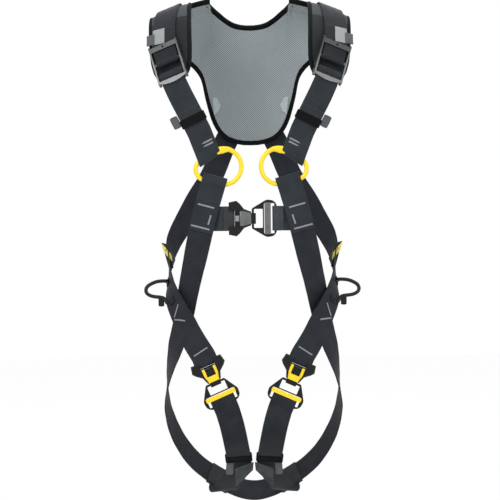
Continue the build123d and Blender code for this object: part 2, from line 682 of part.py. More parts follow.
def latch_body(plane, pin_x):
    """Black half of the buckle: a winged body with a channel, a strap bar and a hook."""
    with BuildPart() as body:
        with BuildSketch(plane.offset(-LATCH_DEPTH)):
            Polygon(*both_sides(LATCH_OUTLINE), align=None)
        extrude(amount=LATCH_DEPTH + BUCKLE_HEIGHT)
        top_edges = body.faces().sort_by(Axis(plane.origin, plane.z_dir))[-1].edges()
        chamfer(top_edges, length=2.6)
        with BuildSketch(plane.offset(CHANNEL_FLOOR)):
            Polygon(*both_sides(CHANNEL), align=None)
        extrude(amount=3 * BUCKLE_HEIGHT, mode=Mode.SUBTRACT)
        # window for the strap's fold, under the wings
        with BuildSketch(plane.offset(-2 * LATCH_DEPTH)):
            with Locations((STRAP_BAR_X - 2.0, 0)):
                Rectangle(18.0, 2 * STRAP_WINDOW_HALF)
        extrude(amount=2 * LATCH_DEPTH + WING_UNDERSIDE, mode=Mode.SUBTRACT)
        with BuildSketch(side_of(plane)):
            with Locations((STRAP_BAR_X, STRAP_BAR_Z)):
                Circle(STRAP_BAR_RADIUS)
        extrude(amount=STRAP_WINDOW_HALF + 1.0, both=True)
        # hook that the frame's nose bar rests in
        with BuildSketch(side_of(plane)):
            with BuildLine():
                Polyline(
                    (-4.0, -LATCH_DEPTH),
                    (6.4, -LATCH_DEPTH),
                    (7.6, -LATCH_DEPTH + 1.6),
                    (7.6, 2.6),
                    (5.0, 2.6),
                    (5.0, -0.4),
                    (-4.0, -0.4),
                    close=True,
                )
            make_face()
        extrude(amount=HOOK_HALF, both=True)
        with BuildSketch(side_of(plane)):
            with Locations((pin_x, PIN_Z)):
                Circle(LEVER_PIN_RADIUS)
        extrude(amount=22.0, both=True, mode=Mode.SUBTRACT)
    return body.part


def lever_pin(plane, pin_x):
    """Pin across the channel, held in both cheeks."""
    with BuildPart() as pin:
        with BuildSketch(side_of(plane)):
            with Locations((pin_x, PIN_Z)):
                Circle(LEVER_PIN_RADIUS)
        extrude(amount=17.0, both=True)
    return pin.part


def latch_lever(plane, pin_x, forked):
    """Gate that lifts about its pin; its tooth keeps the frame's bar in the hook."""
    half_root, half_nose = CHANNEL[1][1] - MOVING_GAP, CHANNEL[2][1] - MOVING_GAP
    with BuildPart() as lever:
        with BuildSketch(plane.offset(LEVER_BOTTOM)):
            Polygon(*both_sides([(pin_x, half_root), (-15.5, half_root), (-1.0, half_nose)]), align=None)
        extrude(amount=LEVER_THICKNESS)
        if forked:
            with BuildSketch(plane.offset(LEVER_BOTTOM)):
                Polygon(*both_sides([(pin_x - 5, ARM_INNER), (-12.0, ARM_INNER)]), align=None)
            extrude(amount=3 * LEVER_THICKNESS, mode=Mode.SUBTRACT)
        with BuildSketch(side_of(plane)):
            with Locations((pin_x, PIN_Z)):
                Circle(LEVER_TOP - PIN_Z)
        extrude(amount=half_root, both=True)
        if forked:
            with BuildSketch(side_of(plane)):
                with Locations((pin_x, PIN_Z)):
                    Rectangle(12, 12)
            extrude(amount=ARM_INNER, both=True, mode=Mode.SUBTRACT)
        else:
            for ridge_x in (-12.5, -9.5, -6.5):
                with BuildSketch(side_of(plane)):
                    with Locations((ridge_x, LEVER_TOP)):
                        RectangleRounded(1.2, 1.2, 0.3)
                extrude(amount=half_nose, both=True)
        with BuildSketch(side_of(plane)):
            with Locations((-1.0 - TOOTH_LENGTH / 2, LEVER_BOTTOM - 1.4)):
                Rectangle(TOOTH_LENGTH, 3.4)
        extrude(amount=half_nose - 1.5, both=True)
        with BuildSketch(side_of(plane)):
            with Locations((pin_x, PIN_Z)):
                Circle(LEVER_PIN_RADIUS + RUNNING_CLEARANCE)
        extrude(amount=22.0, both=True, mode=Mode.SUBTRACT)
    return lever.part


def latch_button(plane, pin_x, forked):
    """Ribbed slide that locks the lever until it is drawn back."""
    if forked:
        front, back = -13.2, pin_x + LEVER_PIN_RADIUS + BUTTON_TRAVEL + 0.6
        top, half = LEVER_TOP + 0.4, BUTTON_HALF
    else:
        front, back = pin_x - 3.3, pin_x - 9.8
        top, half = LEVER_TOP - 1.0, BUTTON_HALF - 2.4
    foot_z = CHANNEL_FLOOR + 2.0
    with BuildPart() as button:
        with BuildSketch(side_of(plane)):
            with Locations(((front + back) / 2, (top + foot_z) / 2)):
                Rectangle(abs(front - back), top - foot_z)
            for i in range(4):
                with Locations((back + (i + 0.7) * abs(front - back) / 4.2, top)):
                    Rectangle(0.9, 1.0)
            with Locations((front + 1.0, foot_z + 0.4)):
                Rectangle(6.0, 0.8)
        extrude(amount=half, both=True)
    return button.part


def latch_spring(plane, pin_x, forked):
    """Bowed leaf between the channel's floor and the button."""
    start, end = (-24.5, -9.0) if forked else (pin_x - 9.5, pin_x + 6.0)
    with BuildPart() as spring:
        with BuildSketch(side_of(plane)):
            with BuildLine():
                low, high = CHANNEL_FLOOR + 0.15, CHANNEL_FLOOR + 1.55
                ThreePointArc((start, low), ((start + end) / 2, high - 0.4), (end, low))
                Line((end, low), (end, low + 0.35))
                ThreePointArc((end, low + 0.35), ((start + end) / 2, high), (start, low + 0.35))
                Line((start, low + 0.35), (start, low))
            make_face()
        extrude(amount=4.0, both=True)
    return spring.part


def latch_frame(plane):
    """Second half of the buckle: a plate with the nose window and the slide's opening."""
    with BuildPart() as frame:
        with BuildSketch(plane):
            with BuildLine():
                Polyline((0, 0), (0, 17.5), (1.6, 19.2), (23.5, 32.3))
                TangentArc((23.5, 32.3), (33.0, 33.6), tangent=(21.9, 13.1))
                TangentArc((33.0, 33.6), (FRAME_LENGTH, 23.0), tangent=(1.0, 0.02))
                Line((FRAME_LENGTH, 23.0), (FRAME_LENGTH, 0))
                mirror(about=Plane.XZ)
            make_face()
            with Locations((12.2, 0)):
                RectangleRounded(16.0, 34.6, 1.5, mode=Mode.SUBTRACT)
            with Locations((SLIDE_WINDOW_X, 0)):
                RectangleRounded(SLIDE_WINDOW_LENGTH, 55.0, 1.5, mode=Mode.SUBTRACT)
        extrude(amount=FRAME_THICKNESS)
        # side rails that guide the slide
        for side in (-1, 1):
            with BuildSketch(plane.offset(FRAME_THICKNESS)):
                with Locations((31.0, side * 30.6)):
                    RectangleRounded(16.0, 2.4, 0.8)
            extrude(amount=SLIDE_THICKNESS + 0.9)
    return frame.part


def locking_slide(plane, slide_length, slotted):
    """Bar across the frame that grips the webbing when it is pulled."""
    front = 23.4
    with BuildPart() as slide:
        with BuildSketch(plane.offset(SLIDE_Z)):
            with Locations((front + slide_length / 2, 0)):
                RectangleRounded(slide_length, 58.0, 1.6)
            if slotted:
                with Locations((front + slide_length / 2, 15.5), (front + slide_length / 2, -15.5)):
                    SlotOverall(5.0, 2.0, rotation=90, mode=Mode.SUBTRACT)
            else:
                with Locations((front, 0)):
                    Rectangle(3.0, 4.0, mode=Mode.SUBTRACT)
        extrude(amount=SLIDE_THICKNESS)
        with BuildSketch(plane.offset(0.5)):
            with Locations((front + 4.6, 0)):
                Rectangle(6.0, 54.0)
        extrude(amount=SLIDE_Z - 0.4)
    return slide.part


chest_plane = Plane(origin=CHEST_CENTRE, x_dir=(1, 0, 0), z_dir=(0, -1, 0))
leg_plane = local_plane(LEG_CENTRE, LEG_ALONG, LEG_FACING)
CHEST_PIN_X = -20.0
LEG_PIN_X = -26.5
CHEST_SLIDE_LENGTH = 11.5
LEG_SLIDE_LENGTH = 8.0

save(latch_body(chest_plane, CHEST_PIN_X), "chest_latch_body")
save(lever_pin(chest_plane, CHEST_PIN_X), "chest_lever_pin")
save(latch_lever(chest_plane, CHEST_PIN_X, False), "chest_latch_lever")
save(latch_button(chest_plane, CHEST_PIN_X, False), "chest_latch_button")
save(latch_spring(chest_plane, CHEST_PIN_X, False), "chest_latch_spring")
save(latch_frame(chest_plane), "chest_buckle_frame")
save(locking_slide(chest_plane, CHEST_SLIDE_LENGTH, True), "chest_locking_slide")
save_pair(latch_body(leg_plane, LEG_PIN_X), "leg_latch_body")
save_pair(lever_pin(leg_plane, LEG_PIN_X), "leg_lever_pin")
save_pair(latch_lever(leg_plane, LEG_PIN_X, True), "leg_latch_lever")
save_pair(latch_button(leg_plane, LEG_PIN_X, True), "leg_latch_button")
save_pair(latch_spring(leg_plane, LEG_PIN_X, True), "leg_latch_spring")
save_pair(latch_frame(leg_plane), "leg_buckle_frame")
save_pair(locking_slide(leg_plane, LEG_SLIDE_LENGTH, False), "leg_locking_slide")

# ---------------------------------------------------------------- straps that end in the buckles
BODY_FOLD_END = 13.0
FRAME_FOLD_END = 12.0
SLEEVE_POINT = 15  # entry of the seat route where the leg strap's sleeve begins
SLEEVE_SHIFT = 0.005
SLEEVE_LEAD = 8.0
body_fold = strap_loop(leg_plane, STRAP_BAR_X, STRAP_BAR_Z, STRAP_BAR_RADIUS, 0.0, -BODY_FOLD_END)
hip_route = HIP_ROUTE + [(at(leg_plane, STRAP_BAR_X - BODY_FOLD_END + 0.5, 0, STRAP_BAR_Z), LEG_FACING)]
hip_path = Spline(*[Vector(*point) for point, _ in hip_route])
hip_shares = route_shares(hip_route)
loop_planes = [route_plane(hip_route, hip_path, hip_shares, share) for share, _ in GEAR_LOOP_ENDS]
loop_offsets = [across for _, across in GEAR_LOOP_ENDS]
loop_ends = [at(plane, across, -GEAR_BALL_LIFT, 0) for plane, across in zip(loop_planes, loop_offsets)]
anchors = []
for plane, across, end in zip(loop_planes, loop_offsets, loop_ends):
    with BuildPart() as anchor:
        with BuildSketch(Plane(origin=plane.origin, x_dir=plane.x_dir, z_dir=-plane.y_dir)):
            with Locations((across, 0)):
                RectangleRounded(*GEAR_ANCHOR, 2.0)
        extrude(amount=GEAR_BALL_LIFT - GEAR_LOOP_TUBE * 0.6)
        with Locations(end):
            Sphere(GEAR_LOOP_TUBE + MOVING_GAP, mode=Mode.SUBTRACT)
    anchors.append(anchor.part)
hip_strap = joined(strap(hip_route), body_fold, *anchors)
save_pair(hip_strap, "hip_strap")

frame_fold = strap_loop(leg_plane, END_BAR_X, FRAME_THICKNESS / 2, FRAME_BAR_RADIUS, 0.0, FRAME_FOLD_END)
seat_path = Spline(*[Vector(*point) for point, _ in seat_route])
sleeve_start = seat_path.param_at_point(Vector(*SEAT_ROUTE[SLEEVE_POINT][0])) - SLEEVE_SHIFT
sleeve_end = sleeve_start + WEBBING_WIDTH / seat_path.length
sleeve_wall = 2 * (LAYER_GAP + WEBBING_THICKNESS)
sleeve_plane = route_plane(seat_route, seat_path, route_shares(seat_route), (sleeve_start + sleeve_end) / 2)
sleeve_edge = WEBBING_WIDTH / 2 + LAYER_GAP + WEBBING_THICKNESS / 2
sleeve_facing = tuple(-sleeve_plane.y_dir)
sleeve_entry = (sleeve_edge + SLEEVE_LEAD, sleeve_edge)
sleeve_points = [(at(sleeve_plane, across, 0, 0), sleeve_facing) for across in sleeve_entry]
leg_start = at(leg_plane, END_BAR_X + FRAME_FOLD_END - 0.5, 0, FRAME_THICKNESS / 2)
leg_route = [(leg_start, LEG_FACING)] + LEG_ROUTE + sleeve_points
with BuildPart() as sleeve:
    add(strap(seat_route, WEBBING_WIDTH + sleeve_wall, WEBBING_THICKNESS + sleeve_wall, 7,
              span=(sleeve_start, sleeve_end)))
    add(strap(seat_route, WEBBING_WIDTH + 2 * LAYER_GAP, WEBBING_THICKNESS + 2 * LAYER_GAP, 9,
              span=(sleeve_start - 0.005, sleeve_end + 0.005)), mode=Mode.SUBTRACT)
leg_strap = joined(strap(leg_route), frame_fold, sleeve.part)
save_pair(leg_strap, "leg_strap")

CHEST_BEHIND = [
    ((59.0, -121.0, -406.0), (0.2, -0.98, 0.0)),
    ((66.0, -119.0, -406.0), (0.12, -0.99, 0.0)),
    ((78.0, -118.4, -406.0), (0.04, -1.0, 0.0)),
    ((99.0, -117.8, -406.0), (0.03, -1.0, 0.0)),
]
chest_left_start = at(chest_plane, END_BAR_X + FRAME_FOLD_END - 1.0, 0, FRAME_THICKNESS / 2)
chest_left_route = [(chest_left_start, (0, -1, 0))] + CHEST_BEHIND
chest_left = joined(
    strap(chest_left_route),
    strap_loop(chest_plane, END_BAR_X, FRAME_THICKNESS / 2, FRAME_BAR_RADIUS, 0.0, FRAME_FOLD_END),
)
chest_right_start = at(chest_plane, STRAP_BAR_X - BODY_FOLD_END + 1.0, 0, STRAP_BAR_Z)
chest_right_route = [(chest_right_start, (0, -1, 0))] + mirrored(CHEST_BEHIND)
chest_right = joined(
    strap(chest_right_route),
    strap_loop(chest_plane, STRAP_BAR_X, STRAP_BAR_Z, STRAP_BAR_RADIUS, 0.0, -BODY_FOLD_END),
)
save(chest_left, "chest_strap_left")
save(chest_right, "chest_strap_right")

# ---------------------------------------------------------------- elastic keepers
KEEPER_LENGTH = 20.0
KEEPER_WALL = 1.4
KEEPER_TAB = (16.0, 9.0, 3.0)
STRAP_STACK = 2 * WEBBING_THICKNESS + LAYER_GAP


def keeper(plane, stack_centre, slack):
    """Elastic band round both layers of a strap, with a moulded tab at its outer edge."""
    inner_wide = WEBBING_WIDTH + 2 * MOVING_GAP + slack
    inner_deep = STRAP_STACK + 2 * MOVING_GAP + slack
    with BuildPart() as band:
        with BuildSketch(Plane(origin=plane.origin, x_dir=plane.y_dir, z_dir=plane.x_dir)):
            with Locations((0, stack_centre)):
                RectangleRounded(inner_wide + 2 * KEEPER_WALL, inner_deep + 2 * KEEPER_WALL, KEEPER_WALL)
                Rectangle(inner_wide, inner_deep, mode=Mode.SUBTRACT)
        extrude(amount=KEEPER_LENGTH / 2, both=True)
        with BuildSketch(plane.offset(stack_centre - KEEPER_TAB[2] / 2)):
            with Locations((1.0, inner_wide / 2 + KEEPER_WALL + KEEPER_TAB[1] / 2 - 0.6)):
                RectangleRounded(KEEPER_TAB[0], KEEPER_TAB[1], 2.0)
        extrude(amount=KEEPER_TAB[2])
    return band.part


front_keeper_plane = local_plane((106.2, -125.0, -222.6), (-0.4472, 0.0, -0.8944), (0.05, -1.0, 0.0))
front_keeper = keeper(front_keeper_plane, (WEBBING_THICKNESS + LAYER_GAP) / 2, 0.8)
save_pair(front_keeper, "front_keeper")

leg_keeper_plane = local_plane((28.8, -65.0, -849.8), (-0.05, 0.80, -0.60), (-0.035, -0.60, -0.80))
leg_keeper = keeper(leg_keeper_plane, 0.0, 1.6)
save_pair(leg_keeper, "leg_keeper")

# ---------------------------------------------------------------- gear loops
with BuildPart() as gear_loop:
    with BuildLine() as loop_line:
        FilletPolyline(loop_ends[0], *GEAR_LOOP_ROUTE, loop_ends[1], radius=[24.0, 11.0, 14.0])
    with BuildSketch(Plane(origin=loop_line.line @ 0, z_dir=loop_line.line % 0)):
        Circle(GEAR_LOOP_TUBE)
    sweep()
    for end in (0, 1):
        with Locations(loop_line.line @ end):
            Sphere(GEAR_LOOP_TUBE)
save_pair(gear_loop.part, "gear_loop")
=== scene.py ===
"""Full-body fall-arrest harness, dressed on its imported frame."""

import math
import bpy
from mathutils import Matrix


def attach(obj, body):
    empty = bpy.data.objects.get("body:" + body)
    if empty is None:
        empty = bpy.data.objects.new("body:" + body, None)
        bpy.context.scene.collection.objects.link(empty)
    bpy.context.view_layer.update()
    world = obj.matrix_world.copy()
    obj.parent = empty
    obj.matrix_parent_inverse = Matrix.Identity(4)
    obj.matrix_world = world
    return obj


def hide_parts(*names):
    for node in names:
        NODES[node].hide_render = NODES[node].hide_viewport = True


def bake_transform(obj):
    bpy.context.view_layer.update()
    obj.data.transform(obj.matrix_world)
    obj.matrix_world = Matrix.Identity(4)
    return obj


bl_info = {
    "name": "Fall-arrest harness",
    "version": (1, 0, 0),
    "blender": (4, 5, 0),
    "location": "3D View > Sidebar > Harness",
    "description": "Webbing, padding and hardware of a full-body harness",
    "category": "Object",
}

import bpy
import numpy as np
from mathutils import Vector

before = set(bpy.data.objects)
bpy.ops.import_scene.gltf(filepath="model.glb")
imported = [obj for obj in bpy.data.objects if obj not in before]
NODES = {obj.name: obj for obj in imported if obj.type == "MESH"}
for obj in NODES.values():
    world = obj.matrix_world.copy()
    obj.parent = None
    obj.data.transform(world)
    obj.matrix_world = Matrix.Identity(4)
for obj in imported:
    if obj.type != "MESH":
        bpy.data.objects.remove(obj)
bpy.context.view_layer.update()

MM = 0.001
ROOT = "webbing_and_pads"
SIDES = ((1, "left"), (-1, "right"))

# sizes in millimetres, as in the solids
WEBBING_WIDTH = 45.0
WEBBING_THICKNESS = 2.0
LAYER_GAP = 0.4
LAYER = WEBBING_THICKNESS + LAYER_GAP  # pitch of two layers of webbing
FACE = WEBBING_THICKNESS / 2  # from a strap's middle surface to its face

CHEST_CENTRE = (0.0, -121.5, -406.0)
LEG_CENTRE = (70.6, -116.0, -704.0)
LEG_ALONG = (-0.40, -0.06, -0.915)
LEG_FACING = (0.06, -0.995, 0.06)
SHOULDER_CENTRE = (150.0, -114.0, -118.0)
SHOULDER_ALONG = (-0.27, -0.28, -0.92)
SHOULDER_FACING = (0.34, -0.921, 0.18)


# -------- curves and frames
def unit(vectors):
    """Vectors divided by their lengths."""
    vectors = np.asarray(vectors, float)
    return vectors / np.linalg.norm(vectors, axis=-1, keepdims=True)


def read_off(places, run, values):
    """Rows of values at places along a run: each column by straight lines between its own values."""
    return np.stack([np.interp(places, run, column) for column in np.transpose(values)], axis=1)


class LocalPlane:
    """Plane of a piece: x along the strap, y across it, z out from the wearer."""

    def __init__(self, origin, along, facing):
        self.origin = np.array(origin, float)
        self.x = unit(along)
        self.y = unit(np.cross(facing, self.x))
        self.z = np.cross(self.x, self.y)

    def at(self, x, y, z):
        """Points of the plane in the row frame, for numbers or arrays."""
        x, y, z = np.broadcast_arrays(*(np.asarray(v, float)[..., None] for v in (x, y, z)))
        return self.origin + x * self.x + y * self.y + z * self.z


CHEST_PLANE = LocalPlane(CHEST_CENTRE, (1, 0, 0), (0, -1, 0))
LEG_PLANE = LocalPlane(LEG_CENTRE, LEG_ALONG, LEG_FACING)
SHOULDER_PLANE = LocalPlane(SHOULDER_CENTRE, SHOULDER_ALONG, SHOULDER_FACING)


def smooth_curve(points, step=2.0):
    """Natural cubic spline through points, at even arc lengths, and each sample's share of the length."""
    points = np.asarray(points, float)
    chord = np.linalg.norm(np.diff(points, axis=0), axis=1)
    knots = np.concatenate(([0.0], np.cumsum(chord)))
    count = len(points)
    matrix = np.eye(count)
    rhs = np.zeros((count, 3))
    for i in range(1, count - 1):
        matrix[i, i - 1 : i + 2] = chord[i - 1], 2 * (chord[i - 1] + chord[i]), chord[i]
        slopes = (points[i + 1] - points[i]) / chord[i], (points[i] - points[i - 1]) / chord[i - 1]
        rhs[i] = 6 * (slopes[0] - slopes[1])
    bend = np.linalg.solve(matrix, rhs)
    t = np.linspace(0, knots[-1], 40 * count)
    k = np.clip(np.searchsorted(knots, t, side="right") - 1, 0, count - 2)
    h = chord[k][:, None]
    a = (knots[k + 1] - t)[:, None] / h
    b = 1 - a
    curved = ((a**3 - a) * bend[k] + (b**3 - b) * bend[k + 1]) * h**2 / 6
    dense = a * points[k] + b * points[k + 1] + curved
    run = np.concatenate(([0.0], np.cumsum(np.linalg.norm(np.diff(dense, axis=0), axis=1))))
    even = np.linspace(0, run[-1], max(int(run[-1] / step), 3) + 1)
    samples = read_off(even, run, dense)
    return samples, even / run[-1]


def along_of(points):
    """Unit tangents by central differences."""
    return unit(np.gradient(points, axis=0))


def route_line(route, lift=0.0, step=2.0):
    """Points and outward normals of a strap's middle line along its route, lifted outward."""
    points = np.array([p for p, _ in route], float)
    facings = unit([f for _, f in route])
    chord = np.linalg.norm(np.diff(points, axis=0), axis=1)
    shares = np.concatenate(([0.0], np.cumsum(chord))) / chord.sum()
    line, run = smooth_curve(points, step)
    facing = read_off(run, shares, facings)
    along = along_of(line)
    normal = unit(facing - along * np.sum(facing * along, axis=1, keepdims=True))
    return line + lift * normal, normal


def mirrored_line(line, side):
    """The same line on the wearer's left (1) or right (-1)."""
    flip = np.array([side, 1, 1])
    return line[0] * flip, line[1] * flip


def resampled(line, step=2.0):
    """A line at even steps, each inner point moved to (before + 2 of itself + after) / 4."""
    points, normals = line
    run = np.concatenate(([0.0], np.cumsum(np.linalg.norm(np.diff(points, axis=0), axis=1))))
    even = np.linspace(0, run[-1], max(int(run[-1] / step), 4) + 1)
    points = read_off(even, run, points)
    normals = read_off(even, run, normals)
    for array in (points, normals):
        array[1:-1] = (array[:-2] + 2 * array[1:-1] + array[2:]) / 4
    return points, unit(normals)


# -------- meshes
def mesh_object(name, vertices, faces, uv):
    """A smooth mesh object in the row frame, from millimetres; uv holds one pair for each corner of each face."""
    mesh = bpy.data.meshes.new(name)
    mesh.from_pydata((np.asarray(vertices) * MM).tolist(), [], faces)
    layer = mesh.uv_layers.new(name="UVMap")
    layer.data.foreach_set("uv", np.asarray(uv, np.float32).ravel())
    mesh.polygons.foreach_set("use_smooth", np.full(len(mesh.polygons), True))
    mesh.update()
    obj = bpy.data.objects.new(name, mesh)
    bpy.context.scene.collection.objects.link(obj)
    return obj


def signed_volume(grid):
    """Signed volume enclosed by a grid of points that wraps in its second direction."""
    nxt = np.roll(grid, -1, axis=1)
    a, b, c, d = grid[:-1], grid[1:], nxt[1:], nxt[:-1]
    first = np.einsum("ijk,ijk->", a, np.cross(b, c))
    second = np.einsum("ijk,ijk->", a, np.cross(c, d))
    return (first + second) / 6


def tube_object(name, grid, uv_rows, uv_columns, closed=False):
    """Closed skin over a grid of rings; each end is shut with one face, or the rings run round when closed.

    uv_rows and uv_columns are the distances along and round it, in metres. A grid that encloses a negative
    volume is turned, so that its faces point outwards.
    """
    rows, cols = grid.shape[:2]
    if signed_volume(np.concatenate((grid, grid[:1])) if closed else grid) < 0:
        grid, uv_columns = grid[:, ::-1], uv_columns[::-1]
    index = np.arange(rows * cols).reshape(rows, cols)
    right = np.roll(index, -1, axis=1)
    if closed:
        ahead, ahead_right = np.roll(index, -1, axis=0), np.roll(right, -1, axis=0)
        quads = np.stack((index, ahead, ahead_right, right), axis=-1).reshape(-1, 4)
        row_ends = np.append(uv_rows, uv_rows[-1] + (uv_rows[1] - uv_rows[0]))
    else:
        quads = np.stack((index[:-1], index[1:], right[1:], right[:-1]), axis=-1).reshape(-1, 4)
        row_ends = uv_rows
    i, j = np.meshgrid(np.arange(len(row_ends) - 1), np.arange(cols), indexing="ij")
    u = np.stack((row_ends[i], row_ends[i + 1], row_ends[i + 1], row_ends[i]), axis=-1)
    v = np.stack((uv_columns[j], uv_columns[j], uv_columns[j + 1], uv_columns[j + 1]), axis=-1)
    uv = np.stack((u, v), axis=-1).reshape(-1, 2)
    faces = quads.tolist()
    if not closed:
        faces += [index[0].tolist(), index[-1, ::-1].tolist()]
        uv = np.concatenate((uv, np.zeros((2 * cols, 2))))
    return mesh_object(name, grid.reshape(-1, 3), faces, uv)


def oval_section(width, thickness, count, power):
    """Closed superellipse: half width times cosine, and half thickness times sine, each to the power 2 / power."""
    turn = np.linspace(0, 2 * math.pi, count, endpoint=False)
    c, s = np.cos(turn), np.sin(turn)
    x, y = (np.sign(part) * np.abs(part) ** (2.0 / power) for part in (c, s))
    return np.stack((width / 2 * x, thickness / 2 * y), axis=1)


def section_lengths(section):
    """Distance round a closed section to each of its points and back to the first, in metres."""
    steps = np.linalg.norm(np.roll(section, -1, axis=0) - section, axis=1)
    return np.concatenate(([0.0], np.cumsum(steps))) * MM


def swept(line, section, scale=None):
    """Grid of a section carried along a line: x across it and y along its normal."""
    points, normals = line
    across = unit(np.cross(along_of(points), normals))
    if scale is None:
        scale = np.ones((len(points), 2))
    x = section[None, :, 0, None] * scale[:, None, 0, None]
    y = section[None, :, 1, None] * scale[:, None, 1, None]
    return points[:, None] + x * across[:, None] + y * normals[:, None]


def run_of(points):
    """Distance along a line, in metres."""
    return np.concatenate(([0.0], np.cumsum(np.linalg.norm(np.diff(points, axis=0), axis=1)))) * MM


# -------- flat goods
# places across a strap, as shares of its half width, and its share of the thickness there: thin edge, fuller
# selvedge
ACROSS = np.array([-1, -0.985, -0.945, -0.86, -0.6, -0.3, 0, 0.3, 0.6, 0.86, 0.945, 0.985, 1])
SELVEDGE = np.array([0.42, 0.84, 1.06, 1.0, 1.0, 1.0, 1.0, 1.0, 1.0, 1.0, 1.06, 0.84, 0.42])
END_SHARE = 0.6  # share of the thickness in a sheet's first and last row
RIPPLE = (0.22, 0.13)  # heights of the two waves in a strap's edges


def grid_normals(grid):
    """Unit normals of a grid surface: the way across it times the way along it."""
    return unit(np.cross(np.gradient(grid, axis=1), np.gradient(grid, axis=0)))


def strap_grid(line, width=WEBBING_WIDTH, shares=ACROSS):
    """Grid of a flat strap: each row is a straight line across it, square to its way along."""
    points, normals = line
    across = unit(np.cross(along_of(points), normals))
    return points[:, None] + (width / 2 * shares)[None, :, None] * across[:, None]


def sheet_object(name, grid, thickness, materials, body=ROOT, back_material=0, flat=None):
    """Closed shell round a grid surface: the surface moved half a thickness each way and joined by a rim.

    thickness is a number, one value for each column, or one for each grid point. u and v of the UV map are
    metres along and across, or what flat gives for each grid point in millimetres.
    """
    rows, cols = grid.shape[:2]
    depth = np.broadcast_to(thickness, (rows, cols)).astype(float).copy()
    depth[[0, -1]] *= END_SHARE
    lift = grid_normals(grid) * depth[..., None] / 2
    vertices = np.concatenate(((grid + lift).reshape(-1, 3), (grid - lift).reshape(-1, 3)))
    index = np.arange(rows * cols).reshape(rows, cols)
    front = np.stack((index[:-1, :-1], index[:-1, 1:], index[1:, 1:], index[1:, :-1]), axis=-1).reshape(-1, 4)
    back = front[:, ::-1] + rows * cols
    loop = np.concatenate((index[0, :-1], index[:-1, -1], index[-1, :0:-1], index[:0:-1, 0]))
    ahead = np.roll(loop, -1)
    rim = np.stack((ahead, loop, loop + rows * cols, ahead + rows * cols), axis=-1)
    faces = np.concatenate((front, back, rim))
    if flat is None:
        u, v = run_of(grid[:, cols // 2]), run_of(grid[rows // 2])
        flat_uv = np.stack(np.meshgrid(u, v, indexing="ij"), axis=-1).reshape(-1, 2)
    else:
        flat_uv = np.asarray(flat).reshape(-1, 2) * MM
    both_uv = np.concatenate((flat_uv, flat_uv))
    obj = mesh_object(name, vertices, faces.tolist(), both_uv[faces].reshape(-1, 2))
    for material in materials:
        obj.data.materials.append(material)
    slots = np.zeros(len(faces), np.int32)
    slots[len(front) : len(front) + len(back)] = back_material
    obj.data.polygons.foreach_set("material_index", slots)
    if body:
        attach(obj, body)
    return obj


def strap_object(name, line, material):
    """Flat woven strap along a line; two sines of the run lift its edges by a few tenths of a millimetre."""
    line = resampled(line)
    grid = strap_grid(line)
    run = run_of(line[0])[:, None] / MM
    ripple = RIPPLE[0] * np.sin(run / 11.0 + 2.0 * ACROSS) + RIPPLE[1] * np.sin(run / 5.3 - ACROSS)
    grid = grid + (ripple * np.abs(ACROSS) ** 2)[..., None] * grid_normals(grid)
    return sheet_object(name, grid, WEBBING_THICKNESS * SELVEDGE, [material])


def ring_section(width, depth, corner):
    """Closed rounded rectangle at 72 even steps: four quarter turns joined by straight sides."""
    turn = np.linspace(0, math.pi / 2, 10)
    x, y = width / 2 - corner, depth / 2 - corner
    parts = []
    for quarter, (sx, sy) in enumerate(((1, 1), (-1, 1), (-1, -1), (1, -1))):
        angle = turn + quarter * math.pi / 2
        parts.append(np.stack((sx * x + corner * np.cos(angle), sy * y + corner * np.sin(angle)), axis=1))
    outline = np.concatenate(parts + [parts[0][:1]])
    run = run_of(outline) / MM
    even = np.linspace(0, run[-1], 72, endpoint=False)
    return read_off(even, run, outline)


BAND_CORNER = 1.2  # rounding of a band's inner corners
BAND_ROLL = 0.7  # how far the wall's edges are rolled past its inner and outer rows


def band_object(name, line, width, depth, wall, material, body, lift=0.0):
    """Band round a strap: a rounded rectangle carried along the line, with a wall whose edges are rolled.

    The rows run forth at the wall's outer height, back at its inner one, and turn at half height, BAND_ROLL
    beyond the line's end. The last row joins the first.
    """
    points, normals = line
    points = points + lift * normals
    inner = ring_section(width, depth, BAND_CORNER)
    way = unit(np.roll(inner, -2, axis=0) - np.roll(inner, 2, axis=0))
    outward = np.stack((way[:, 1], -way[:, 0]), axis=1)
    across = unit(np.cross(along_of(points), normals))
    order = np.arange(len(points))
    steps = np.linspace(0, order[-1], 13)
    clipped = np.concatenate((steps, steps[-1:], steps[::-1], steps[:1]))
    height = wall * np.repeat((1.0, 0.5, 0.0, 0.5), (13, 1, 13, 1))
    extra = BAND_ROLL * np.repeat((0.0, 1.0, 0.0, -1.0), (13, 1, 13, 1))[:, None]
    centre = read_off(clipped, order, points)
    side = unit(read_off(clipped, order, across))
    out = unit(read_off(clipped, order, normals))
    centre = centre - extra * np.cross(side, out)
    section = inner[None] + height[:, None, None] * outward[None]
    grid = centre[:, None] + section[..., :1] * side[:, None] + section[..., 1:] * out[:, None]
    obj = tube_object(name, grid, clipped * MM, section_lengths(inner), closed=True)
    obj.data.materials.append(material)
    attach(obj, body)
    return obj


# -------- sewing
TACK_TURN = 0.55  # length of one turn of a tack's thread
TACK_HEIGHT = 0.55
TACK_RIDGE = 0.16  # how much thinner every other turn is
TACK_LIFT = 0.1
STITCH = 2.6
STITCH_GAP = 1.3
STITCH_RISE = 0.22


def bar_tack(line, start, end):
    """Middle line of a bar tack: straight on a strap's face between two places, each along and across it."""
    start, end = np.array(start, float), np.array(end, float)
    count = max(int(np.linalg.norm(end - start) / TACK_TURN), 6)
    flat = start + np.linspace(0, 1, count)[:, None] * (end - start)
    return on_face(line, flat[:, 0], flat[:, 1], FACE + TACK_LIFT)


